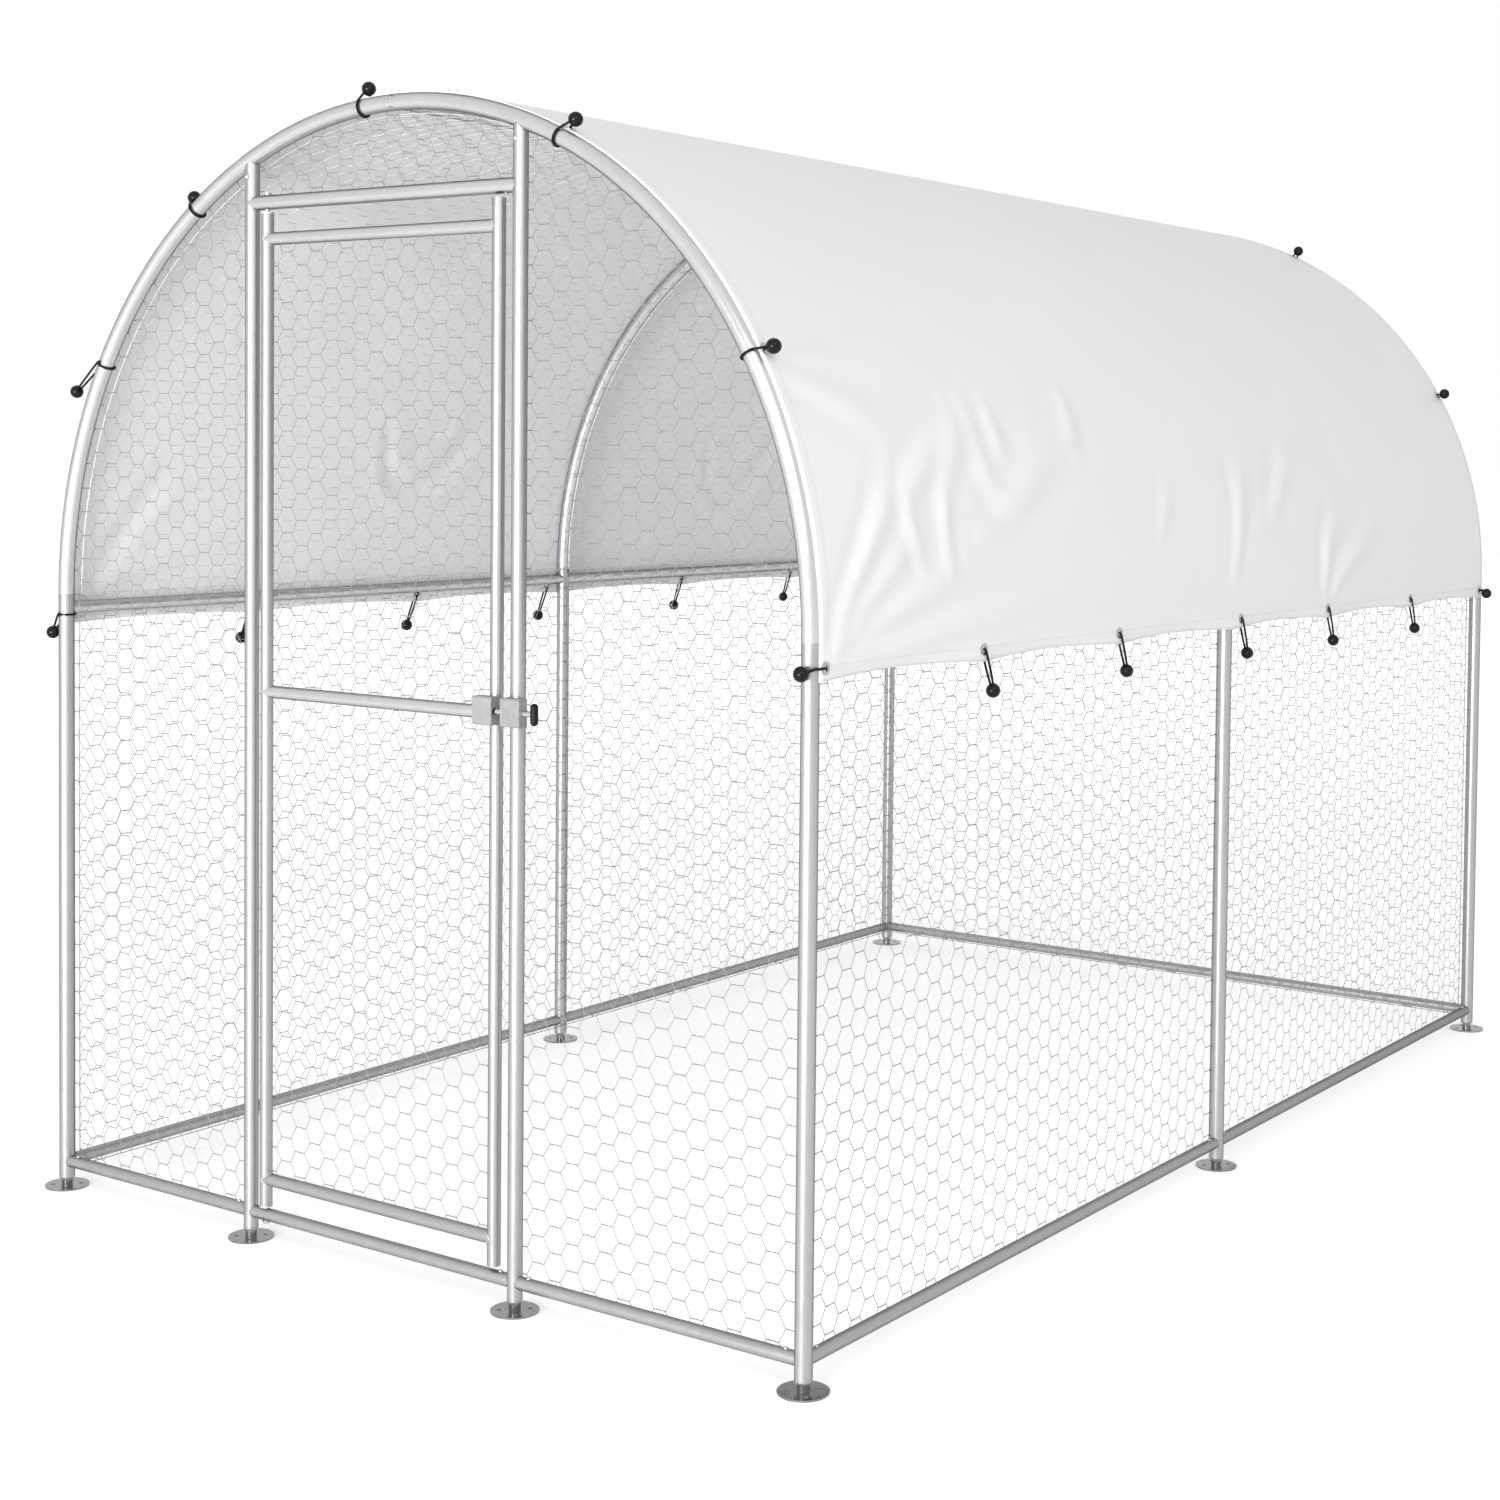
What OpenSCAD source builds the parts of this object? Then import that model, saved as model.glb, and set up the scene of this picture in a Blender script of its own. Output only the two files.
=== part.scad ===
// Walk-in chicken run: a galvanised tube frame with three round hoops, wire netting on every side,
// a netted door on pivot pins with a barrel bolt, and a roof sheet held by ball bungees.
// Millimetres, +Z up, the door end faces -Y, the origin is on the ground under the middle of the run.

/* [Overall] */
// Width between the centres of the left and right posts
run_w = 1700; // [1400:10:2200]
// Length between the centres of the front and back posts
run_l = 2800; // [2200:10:3600]
// Height of the post tops, where the hoops begin to curve
spring_h = 1115; // [1000:5:1300]

/* [Tubes] */
// Diameter of the posts and hoops
post_d = 28; // [26:0.5:34]
// Wall of the posts and hoops
post_wall = 1.2; // [0.8:0.1:2]
// Diameter of the door posts and the lintel
door_post_d = 25; // [23:0.5:30]
// Wall of the door posts and the lintel
door_post_wall = 1; // [0.8:0.1:2]
// Diameter of the sills, eave rails, ridge rails and door leaf tubes
rail_d = 22; // [18:0.5:24]
// Wall of those rails
rail_wall = 1; // [0.8:0.1:1.6]
// Length of a welded spigot beyond the face of its post
spigot_l = 40; // [34:1:60]
// Length of the swaged hoop end that goes down into a post
swage_l = 60; // [40:1:90]
// Radial clearance between a spigot and the tube over it
spigot_fit = 0.2; // [0.1:0.05:0.4]
// Gap between a shaped tube end and the tube that it meets
joint_gap = 0.3; // [0.1:0.05:0.5]
// Half angle of the sleeve inside each hoop crown, in degrees
crown_sleeve_deg = 4; // [3:0.5:8]

/* [Rail heights] */
// Height of the sills' centre line
sill_h = 48; // [44:1:70]
// Depth of the eave rails' centre line below the post tops
eave_drop = 25; // [22:1:40]
// Height of the lintel's centre line
lintel_h = 1815; // [1700:1:1830]

/* [Feet] */
// Diameter of a foot disc
foot_d = 80; // [70:1:110]
// Thickness of a foot disc
foot_t = 3; // [2:0.5:5]
// Diameter of the neck between a foot disc and its post
foot_neck_d = 20; // [16:0.5:24]
// Length of that neck
foot_neck_l = 13; // [8:1:16]
// Thickness of the collar that a post stands on
foot_collar_t = 2; // [1.5:0.5:3]
// Length of the plug inside the post
foot_plug_l = 40; // [25:1:60]
// Diameter of the holes in a foot disc
foot_hole_d = 8; // [5:0.5:10]
// Pitch circle of those holes
foot_pcd = 50; // [40:1:60]
// Number of holes in a foot disc
foot_holes = 4; // [2:1:4]

/* [Door] */
// Distance between the centres of the door posts
door_opening = 622; // [560:1:800]
// Distance of the doorway's middle from the middle of the run
door_shift = -34; // [-60:1:60]
// Distance from the hinge post to the hinge stile, centre to centre
hinge_offset = 38; // [34:1:46]
// Distance from the latch post to the latch stile, centre to centre
latch_offset = 46; // [40:1:60]
// Height of the door's top rail
door_top_h = 1752; // [1600:1:1770]
// Height of the door's middle rail
door_middle_h = 968; // [700:1:1200]
// Height of the door's bottom rail
door_bottom_h = 111; // [95:1:160]
// Clearance between the hinge stile's top bush and the lintel
hinge_top_gap = 4; // [3:0.5:8]
// Clearance between the latch stile and the lintel
latch_top_gap = 6; // [4:0.5:12]
// Clearance between the latch stile and the threshold
latch_bottom_gap = 7; // [5:0.5:12]

/* [Pivots] */
// Diameter of the pivot pins
pin_d = 8; // [6:0.5:10]
// Radial running clearance of a pin in its bush
pin_fit = 0.05; // [0.02:0.01:0.1]
// Length of pin inside a bush
pin_reach = 20; // [14:1:26]
// Diameter of a pin's head
pin_head_d = 13; // [12:0.5:16]
// Thickness of a pin's head
pin_head_t = 4; // [3:0.5:6]
// Thickness of the lower pin's collar, which carries the door
pin_collar_t = 2; // [1.5:0.5:3]
// Length of a bush inside its stile
bush_l = 24; // [18:1:34]
// Thickness of a bush's flange
bush_flange_t = 3; // [2:0.5:4]
// Radial clearance of a bush in its stile
bush_fit = 0.05; // [0.02:0.01:0.2]

/* [Latch] */
// Height of the bolt above the door's middle rail
latch_rise = 6; // [0:1:12]
// Diameter of the bolt
bolt_d = 10; // [8:0.5:12]
// Radial running clearance of the bolt in its guide
bolt_fit = 0.05; // [0.02:0.01:0.1]
// Radial play of the bolt in the keeper
keeper_play = 1; // [0.5:0.1:1.5]
// Depth of the guide's and keeper's housings, front to back of the bolt's bore
housing_d = 17; // [16:0.5:20]
// Bevel along the housings' front edges
housing_edge = 2; // [1:0.5:3]
// Thickness of the guide's saddle
saddle_t = 2; // [1.5:0.5:3]
// Height of the saddle and the housings
saddle_h = 46; // [30:1:60]
// Reach of the guide from the latch post's centre towards the door
guide_in = 10; // [8:1:18]
// Reach of the guide from the latch post's centre away from the door
guide_out = 31; // [24:1:60]
// Reach of the keeper from the latch stile's centre towards the post
keeper_reach = 17; // [10:1:18]
// Reach of the keeper from the latch stile's centre along the middle rail
keeper_in = 24; // [16:1:40]
// Distance from the drawn bolt's tip to the keeper
bolt_tip_gap = 3; // [2:0.5:6]
// Travel of the bolt
bolt_travel = 15; // [10:1:20]
// Diameter of the knob
knob_d = 13; // [12:0.5:20]
// Height of the knob
knob_h = 36; // [20:1:40]

/* [Screws] */
// Diameter of a screw's head
screw_head_d = 8; // [6:0.5:10]
// Thickness of a screw's head
screw_head_t = 2.4; // [1.5:0.1:4]
// Diameter of a screw's shank
screw_d = 3.9; // [3:0.1:5]
// Length of a screw's shank
screw_l = 6; // [4:0.5:8]
// Radial clearance round a screw's shank
screw_fit = 0.2; // [0.1:0.05:0.4]
// Distance of a screw from the face of its post
screw_inset = 18; // [12:1:26]

/* [Netting] */
// Distance across the flats of a wall net cell
net_cell = 130; // [110:1:200]
// Distance across the flats of a roof net cell
roof_cell = 170; // [140:1:220]
// Width of the wire between two cells
net_wire = 4; // [3:0.5:8]
// Thickness of the netting
net_t = 1.6; // [1:0.1:3]
// Width of the edge wire round a net
net_edge = 6; // [4:0.5:12]
// Gap between a net and the tubes that it lies against
net_gap = 0.3; // [0.2:0.1:1]
// Number of flat strips in the roof net
roof_strips = 12; // [8:1:16]
// Gap between two roof strips
strip_gap = 0.6; // [0.4:0.1:2]

/* [Cover] */
// Thickness of the roof sheet
cover_t = 1.5; // [1:0.1:3]
// Gap between the hoops and the sheet
cover_gap = 0.4; // [0.3:0.1:1]
// Depth of the hem below the eave rails' centre line
hem_drop = 33; // [30:1:80]
// Depth of the curve in the hem between two bungees
hem_sag = 8; // [3:1:14]
// Height of the eyelets above the hem
eyelet_rise = 20; // [14:1:30]
// Distance of the end eyelets from the hoops' middle plane
eyelet_inset = 16; // [15:0.5:20]
// Outer diameter of an eyelet
eyelet_d = 20; // [16:0.5:24]
// Bore of an eyelet
eyelet_bore = 10; // [9:0.5:12]
// Metal thickness of an eyelet
eyelet_t = 0.8; // [0.5:0.1:1.2]
// Clearance between an eyelet and the sheet
eyelet_fit = 0.1; // [0.05:0.05:0.3]

/* [Bungees] */
// Diameter of a ball
ball_d = 24; // [18:1:30]
// Diameter of the elastic cord
cord_d = 4; // [3:0.5:5]
// Gap between a cord and what it goes round
cord_gap = 0.3; // [0.2:0.1:1]
// Distance between the two strands at a ball
strand_gap = 4.8; // [4.5:0.1:8]
// Number of bungees along each eave
eave_bungees = 5; // [3:1:8]
// Distance of the middle eave bungees from the middle posts
middle_clear = 40; // [35:1:80]
// Drop from an eave eyelet to the ball below it
ball_drop = 76; // [60:1:110]
// Lean of the eave bungees along the run, in degrees, backwards on the right and forwards on the left
eave_lean = 24; // [0:1:30]

/* [Hidden] */

$fn = 48;
over = 1; // how far a cut runs past the face that it opens

zinc = [0.76, 0.77, 0.78];
dark_zinc = [0.36, 0.37, 0.38];
wire_grey = [0.62, 0.63, 0.64];
sheet_white = [0.94, 0.94, 0.95];
black = [0.06, 0.06, 0.06];

side = run_w / 2;
front = -run_l / 2;
back = run_l / 2;
eave_h = spring_h - eave_drop;
ridge_h = spring_h + side;
hinge_x = door_shift - door_opening / 2;
latch_x = door_shift + door_opening / 2;
hinge_stile_x = hinge_x + hinge_offset;
latch_stile_x = latch_x - latch_offset;

post_bottom = foot_t + foot_neck_l + foot_collar_t;
post_bore = post_d - 2 * post_wall;
swage_d = post_bore - 2 * spigot_fit;
swage_deg = 1.5; // how far the swage's thicker wall reaches up into the curve
rail_spigot_d = rail_d - 2 * rail_wall - 2 * spigot_fit;
lintel_spigot_d = door_post_d - 2 * door_post_wall - 2 * spigot_fit;

// Each rail: start and end in plan, height, diameter, wall, tube diameters at its ends, the side that its
// screws come from (1 above, -1 below, 0 none), and whether each end has a screw
function rail_row(a, b, h, ends, screw = 1, d = rail_d, wall = rail_wall, screwed = [true, true]) =
  [a, b, h, d, wall, ends, screw, screwed];
post_ends = [post_d, post_d];
FRAME_RAILS = [
  rail_row([hinge_x, front], [latch_x, front], lintel_h, [door_post_d, door_post_d], -1, door_post_d,
           door_post_wall, [false, true]),
  rail_row([hinge_x, front], [latch_x, front], sill_h, [door_post_d, door_post_d], 1, rail_d, rail_wall,
           [false, true]),
  rail_row([-side, front], [hinge_x, front], sill_h, [post_d, door_post_d]),
  rail_row([latch_x, front], [side, front], sill_h, [door_post_d, post_d]),
  rail_row([-side, front], [-side, 0], sill_h, post_ends),
  rail_row([-side, 0], [-side, back], sill_h, post_ends),
  rail_row([side, front], [side, 0], sill_h, post_ends),
  rail_row([side, 0], [side, back], sill_h, post_ends),
  rail_row([-side, back], [side, back], sill_h, post_ends),
  rail_row([-side, front], [-side, 0], eave_h, post_ends, -1),
  rail_row([-side, 0], [-side, back], eave_h, post_ends, -1),
  rail_row([side, front], [side, 0], eave_h, post_ends, -1),
  rail_row([side, 0], [side, back], eave_h, post_ends, -1),
  rail_row([0, front], [0, 0], ridge_h, post_ends, -1),
  rail_row([0, 0], [0, back], ridge_h, post_ends, -1)
];
LINTEL_ROW = 0;
THRESHOLD_ROW = 1;
RIDGE_ROWS = [13, 14];

// Tube of length l along +Z
module tube(d, wall, l) {
  difference() {
    cylinder(d = d, h = l);
    translate([0, 0, -over]) cylinder(d = d - 2 * wall, h = l + 2 * over);
  }
}

// Moves to the start of a rail and turns +X along it
module at_rail(row) {
  run = row[1] - row[0];
  translate([row[0].x, row[0].y, row[2]]) rotate([0, 0, atan2(run.y, run.x)]) children();
}

function rail_length(row) = norm(row[1] - row[0]);

// Distance of each screw along a rail
function screw_places(row) = [
  row[5][0] / 2 + screw_inset,
  rail_length(row) - row[5][1] / 2 - screw_inset
];

// Rail with its ends shaped to the tubes that it meets: upright posts, or hoops that cross it level
module rail(row, level_ends = false) {
  d = row[3];
  reach = 2 * d;
  at_rail(row) difference() {
    rotate([0, 90, 0]) tube(d, row[4], rail_length(row));
    for (end = [0, 1]) {
      translate([end * rail_length(row), 0, 0]) rotate([level_ends ? 90 : 0, 0, 0])
        cylinder(d = row[5][end] + 2 * joint_gap, h = 2 * reach, center = true);
      if (row[6] != 0 && row[7][end])
        translate([screw_places(row)[end], 0, 0]) rotate([row[6] > 0 ? 0 : 180, 0, 0])
          cylinder(d = screw_d + 2 * screw_fit, h = d);
    }
  }
}

// Spigot along +X from a post's centre. side_up says where its screw comes from, 0 for none
module spigot(post_size, d, wall, side_up) {
  difference() {
    rotate([0, 90, 0]) cylinder(d = d, h = post_size / 2 + spigot_l);
    translate([post_size / 2 + wall, 0, 0]) rotate([0, 90, 0]) cylinder(d = d - 2 * wall, h = spigot_l);
    if (side_up != 0)
      translate([post_size / 2 + screw_inset, 0, 0]) rotate([side_up > 0 ? 0 : 180, 0, 0])
        cylinder(d = screw_d + 2 * screw_fit, h = d);
  }
}

// Upright tube with a spigot for each rail: [height, heading in degrees, screw side]
module post(d, wall, top, spigots) {
  difference() {
    union() {
      translate([0, 0, post_bottom]) cylinder(d = d, h = top - post_bottom);
      for (s = spigots)
        translate([0, 0, s[0]]) rotate([0, 0, s[1]]) spigot(d, rail_spigot_d, rail_wall, s[2]);
      children();
    }
    translate([0, 0, post_bottom - over]) cylinder(d = d - 2 * wall, h = top - post_bottom + 2 * over);
  }
}

module side_post(x, y, headings, sill_only = []) {
  spigots = concat(
    [for (a = headings) [sill_h, a, 1]],
    [for (a = headings) [eave_h, a, -1]],
    [for (a = sill_only) [sill_h, a, 1]]
  );
  color(zinc) translate([x, y, 0]) post(post_d, post_wall, spring_h, spigots);
}

module front_left_post() { side_post(-side, front, [90], [0]); }
module front_right_post() { side_post(side, front, [90], [180]); }
module middle_left_post() { side_post(-side, 0, [90, -90]); }
module middle_right_post() { side_post(side, 0, [90, -90]); }
module back_left_post() { side_post(-side, back, [-90], [0]); }
module back_right_post() { side_post(side, back, [-90], [180]); }

// Solid bent round the run's width: a circle of diameter d swept from angle a0 to a1 above the right spring
module hoop_sweep(d, a0, a1) {
  rotate([90, 0, 0]) rotate([0, 0, a0]) rotate_extrude(angle = a1 - a0, $fn = 180)
    translate([side, 0]) circle(d = d, $fn = 48);
}

// Right half of a hoop, with its swaged lower end. door_x places the spigot for a door post
module half_hoop(door_x = undef) {
  seam_deg = joint_gap / 2 / side * 180 / PI;
  swage_bore = swage_d - 2 * post_wall;
  crown_hole = rail_spigot_d + 2 * spigot_fit;
  translate([0, 0, spring_h]) difference() {
    union() {
      hoop_sweep(post_d, 0, 90 - seam_deg);
      translate([side, 0, -swage_l]) cylinder(d = swage_d, h = swage_l + over);
      if (!is_undef(door_x)) {
        top = sqrt(side * side - door_x * door_x);
        drop = post_d / 2 + spigot_l;
        translate([door_x, 0, top - drop]) difference() {
          cylinder(d = lintel_spigot_d, h = drop);
          translate([0, 0, spigot_l - screw_inset]) rotate([90, 0, 0])
            cylinder(d = screw_d + 2 * screw_fit, h = door_post_d);
        }
      }
    }
    rotate([0, -swage_deg, 0]) hoop_sweep(post_bore, 0, 90);
    translate([side, 0, -swage_l - over])
      cylinder(d = swage_bore, h = swage_l + over + side * sin(swage_deg) + over);
    translate([0, 0, side]) rotate([90, 0, 0]) cylinder(d = crown_hole, h = 2 * post_d, center = true);
  }
}

module hoop_at(y, left, door_x = undef) {
  color(zinc) translate([0, y, 0]) mirror([left ? 1 : 0, 0, 0]) half_hoop(door_x);
}

module front_left_hoop() { hoop_at(front, true, -hinge_x); }
module front_right_hoop() { hoop_at(front, false, latch_x); }
module middle_left_hoop() { hoop_at(0, true); }
module middle_right_hoop() { hoop_at(0, false); }
module back_left_hoop() { hoop_at(back, true); }
module back_right_hoop() { hoop_at(back, false); }

// Curved sleeve inside a crown, with a spigot for each ridge rail
module crown_joiner(headings) {
  sleeve_d = post_bore - 2 * spigot_fit;
  difference() {
    union() {
      hoop_sweep(sleeve_d, 90 - crown_sleeve_deg, 90 + crown_sleeve_deg);
      for (a = headings)
        translate([0, 0, side]) rotate([0, 0, a]) spigot(post_d, rail_spigot_d, rail_wall, -1);
    }
    hoop_sweep(sleeve_d - 2 * post_wall, 90 - crown_sleeve_deg - over, 90 + crown_sleeve_deg + over);
  }
}

module crown_joiners() {
  color(zinc) for (j = [[front, [90]], [0, [90, -90]], [back, [-90]]])
    translate([0, j[0], spring_h]) crown_joiner(j[1]);
}

// Door post: its top is shaped to the underside of the front hoop
function hoop_height(x) = spring_h + sqrt(side * side - x * x);
function door_post_screw_h(x) = hoop_height(x) - post_d / 2 - screw_inset;
module door_post(x, sill_headings, lintel_heading, pinned) {
  hoop_top = hoop_height(x);
  pin_hole_d = pin_d + 2 * spigot_fit;
  color(zinc) translate([0, front, 0]) difference() {
    translate([x, 0, 0]) post(door_post_d, door_post_wall, hoop_top, sill_headings)
      translate([0, 0, lintel_h]) rotate([0, 0, lintel_heading])
        spigot(door_post_d, lintel_spigot_d, door_post_wall, pinned ? 0 : -1);
    translate([0, 0, spring_h]) hoop_sweep(post_d + 2 * joint_gap, 0, 180);
    translate([0, 0, spring_h]) rotate([90, 0, 0]) rotate_extrude(angle = 180, $fn = 180)
      translate([side, -post_d]) square([post_d, 2 * post_d]);
    translate([x, 0, door_post_screw_h(x)]) rotate([90, 0, 0])
      cylinder(d = screw_d + 2 * screw_fit, h = door_post_d);
    if (pinned) for (h = [lintel_h, sill_h])
      translate([hinge_stile_x, 0, h]) cylinder(d = pin_hole_d, h = 2 * door_post_d, center = true);
  }
}

module hinge_post() { door_post(hinge_x, [[sill_h, 0, 0], [sill_h, 180, 1]], 0, true); }
module latch_post() { door_post(latch_x, [[sill_h, 0, 1], [sill_h, 180, 1]], 180, false); }

// Lintel or threshold, drilled for a pivot pin
module pinned_rail(row) {
  color(zinc) difference() {
    rail(row);
    translate([hinge_stile_x, front, row[2]])
      cylinder(d = pin_d + 2 * spigot_fit, h = 2 * row[3], center = true);
  }
}

module lintel() { pinned_rail(FRAME_RAILS[LINTEL_ROW]); }
module threshold() { pinned_rail(FRAME_RAILS[THRESHOLD_ROW]); }
module front_left_sill() { color(zinc) rail(FRAME_RAILS[2]); }
module front_right_sill() { color(zinc) rail(FRAME_RAILS[3]); }
module left_front_sill() { color(zinc) rail(FRAME_RAILS[4]); }
module left_back_sill() { color(zinc) rail(FRAME_RAILS[5]); }
module right_front_sill() { color(zinc) rail(FRAME_RAILS[6]); }
module right_back_sill() { color(zinc) rail(FRAME_RAILS[7]); }
module back_sill() { color(zinc) rail(FRAME_RAILS[8]); }
module left_front_eave() { color(zinc) rail(FRAME_RAILS[9]); }
module left_back_eave() { color(zinc) rail(FRAME_RAILS[10]); }
module right_front_eave() { color(zinc) rail(FRAME_RAILS[11]); }
module right_back_eave() { color(zinc) rail(FRAME_RAILS[12]); }
module front_ridge() { color(zinc) rail(FRAME_RAILS[RIDGE_ROWS[0]], true); }
module back_ridge() { color(zinc) rail(FRAME_RAILS[RIDGE_ROWS[1]], true); }

// Foot: drilled disc, narrow neck, collar under the post and plug inside it
module foot(d, wall) {
  plug_d = d - 2 * wall - 2 * spigot_fit;
  difference() {
    union() {
      cylinder(d = foot_d, h = foot_t);
      translate([0, 0, foot_t]) cylinder(d = foot_neck_d, h = foot_neck_l);
      translate([0, 0, foot_t + foot_neck_l]) cylinder(d = d, h = foot_collar_t);
      translate([0, 0, post_bottom]) cylinder(d = plug_d, h = foot_plug_l);
    }
    for (k = [0 : foot_holes - 1]) rotate([0, 0, 45 + k * 360 / foot_holes])
      translate([foot_pcd / 2, 0, -over]) cylinder(d = foot_hole_d, h = foot_t + 2 * over);
  }
}

module foot_plates() {
  color(dark_zinc) {
    for (x = [-side, side], y = [front, 0, back]) translate([x, y, 0]) foot(post_d, post_wall);
    for (x = [hinge_x, latch_x]) translate([x, front, 0]) foot(door_post_d, door_post_wall);
  }
}

// Pan head screw pointing down, its head resting on the origin's plane
module screw() {
  cylinder(d = screw_head_d, h = screw_head_t);
  translate([0, 0, -screw_l]) cylinder(d = screw_d, h = screw_l + over);
}

// Screws through the rails into the posts' spigots, and through the door posts into the hoop's spigots
module rail_screws() {
  seat = 0.05;
  color(dark_zinc) {
    for (row = FRAME_RAILS, end = [0, 1]) if (row[7][end])
      at_rail(row) translate([screw_places(row)[end], 0, 0]) rotate([row[6] > 0 ? 0 : 180, 0, 0])
        translate([0, 0, row[3] / 2 + seat]) screw();
    for (x = [hinge_x, latch_x])
      translate([x, front - door_post_d / 2 - seat, door_post_screw_h(x)]) rotate([90, 0, 0]) screw();
  }
}

// Flat hexagon netting over x0 to x1 and z0 to z1 in the drawing plane, held inside the roof's curve of
// radius dome_r round (0, spring_h) where dome_r is given
module net_sheet(x0, x1, z0, z1, dome_r = 0, cell = net_cell) {
  col_pitch = cell * sqrt(3) / 2;
  gap_r = (cell - net_wire) / sqrt(3);
  // How far a cell's centre lies outside the sheet. A cell cut by the edge is kept if it leaves a real gap
  function outside(p) = max(0, x0 - p.x, p.x - x1) + max(0, z0 - p.y, p.y - z1)
    + (dome_r > 0 && p.y > spring_h ? max(0, norm(p - [0, spring_h]) - dome_r) : 0);
  cut_limit = (cell - net_wire) / 2 - 2 * net_edge;
  cols = floor((x1 - x0) / col_pitch) + 1;
  rows = floor((z1 - z0) / cell) + 1;
  linear_extrude(net_t) difference() {
    net_outline(x0, x1, z0, z1, dome_r);
    difference() {
      intersection() {
        net_outline(x0 + net_edge, x1 - net_edge, z0 + net_edge, z1 - net_edge, dome_r - net_edge);
        for (i = [0 : cols], j = [0 : rows]) {
          p = [x0 + i * col_pitch, z0 + (j + (i % 2) / 2) * cell];
          if (outside(p) < cut_limit) translate(p) circle(r = gap_r, $fn = 6);
        }
      }
      if (dome_r > 0) rim_cuts(net_edge);
    }
    if (dome_r > 0) rim_cuts();
  }
}

// Cuts in the rim of an end net: slots where the hoop bungees go round the tube, and clearance round the
// lengthwise rails that cross the net's plane. grow widens them to the edge wire that is left round each cut
module rim_cuts(grow = 0) {
  depth = post_d / 2 + grow;
  w = cord_d + 2 * cord_gap + 2 * grow;
  rail_hole_d = rail_d + 2 * net_gap + 2 * grow;
  for (b = FRONT_HOOP_BUNGEES) translate([0, spring_h]) rotate(b[0])
    translate([side - depth, -w / 2]) square([2 * depth, w]);
  for (x = [-side, side]) {
    translate([x - depth, eyelet_h - w / 2]) square([2 * depth, eave_h - eyelet_h + w / 2]);
    for (h = [sill_h, eave_h]) translate([x, h]) circle(d = rail_hole_d);
  }
  translate([0, ridge_h]) circle(d = rail_hole_d);
}

module net_outline(x0, x1, z0, z1, dome_r) {
  if (dome_r > 0) intersection() {
    translate([x0, z0]) square([x1 - x0, z1 - z0]);
    union() {
      translate([0, spring_h]) circle(r = dome_r, $fn = 180);
      translate([-dome_r, z0]) square([2 * dome_r, spring_h - z0]);
    }
  }
  else translate([x0, z0]) square([x1 - x0, z1 - z0]);
}

// Stands a net drawn in plan upright across the run, its face towards -Y at y
module net_across(y) { translate([0, y + net_t, 0]) rotate([90, 0, 0]) children(); }

// Stands a net drawn in plan upright along the run, its near face at x
module net_along(x) { translate([x, 0, 0]) rotate([90, 0, 90]) children(); }

net_low = sill_h - rail_d / 2;
net_inset = post_d / 2 + net_gap;
strip_deg = 180 / roof_strips;
strip_corner_r = side - net_inset;
strip_flat_r = strip_corner_r * cos(strip_deg / 2);
front_net_y = front + net_inset;

module front_left_net() {
  color(wire_grey) net_across(front_net_y) net_sheet(-side, hinge_x, net_low, ridge_h, side);
}
module front_right_net() {
  color(wire_grey) net_across(front_net_y) net_sheet(latch_x, side, net_low, ridge_h, side);
}
module transom_net() {
  color(wire_grey) net_across(front_net_y)
    net_sheet(hinge_x + net_gap, latch_x - net_gap, lintel_h, ridge_h, side);
}
module back_net() {
  color(wire_grey) net_across(back - net_inset - net_t)
    net_sheet(-side, side, net_low, ridge_h, side);
}

// One bay of a side wall, between the end nets and the middle posts
module side_net(x, y0, y1) {
  color(wire_grey) net_along(x) net_sheet(y0, y1, net_low, spring_h);
}
bay_end = run_l / 2 - net_inset - net_t - net_gap;
bay_middle = net_gap / 2;
right_net_x = side - net_inset - net_t;
left_net_x = -side + net_inset;
module left_front_net() { side_net(left_net_x, -bay_end, -bay_middle); }
module left_back_net() { side_net(left_net_x, bay_middle, bay_end); }
module right_front_net() { side_net(right_net_x, -bay_end, -bay_middle); }
module right_back_net() { side_net(right_net_x, bay_middle, bay_end); }

// Roof netting in flat lengthwise strips under the hoops, clear of the bungee cords at both ends
module roof_net() {
  half_w = strip_corner_r * sin(strip_deg / 2) - strip_gap / 2;
  half_l = run_l / 2 - net_inset - cord_d - cord_gap - net_t;
  color(wire_grey) for (k = [0 : roof_strips - 1])
    translate([0, 0, spring_h]) rotate([0, 90 - (k + 0.5) * strip_deg, 0])
      translate([0, 0, strip_flat_r - net_t]) rotate([0, 0, 90])
        net_sheet(-half_l, half_l, -half_w, half_w, 0, roof_cell);
}

cover_in_r = side + post_d / 2 + cover_gap;
cover_mid_r = cover_in_r + cover_t / 2;
hem_h = eave_h - hem_drop;
eyelet_h = hem_h + eyelet_rise;
eave_step = run_l / (eave_bungees + 1);

// Bungee places along an eave: evenly spaced, with one that would meet the middle post set beside it
function eave_places(sign) = [
  for (k = [1 : eave_bungees])
    let (y = front + k * eave_step) abs(y) < middle_clear ? sign * middle_clear : y
];

// Bungees on an end hoop: [angle above the right spring, ball's reach from the hoop, droop along the hoop]
FRONT_HOOP_BUNGEES = [[30, 33, 6], [65, 33, 6], [95, 33, 0], [125, 33, 6], [150, 63, 92]];
BACK_HOOP_BUNGEES = [[30, 33, 6], [65, 33, 6], [95, 33, 0], [125, 33, 6], [150, 33, 6]];
ball_back = 14; // how far behind the hoop's plane a ball lies

// Moves to the middle of a hoop's tube, with +X outwards, +Y into the run and +Z along the tube
module on_hoop(end, angle) {
  mirror([0, end, 0]) translate([0, front, spring_h]) rotate([0, -angle, 0]) translate([side, 0, 0])
    children();
}

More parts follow.
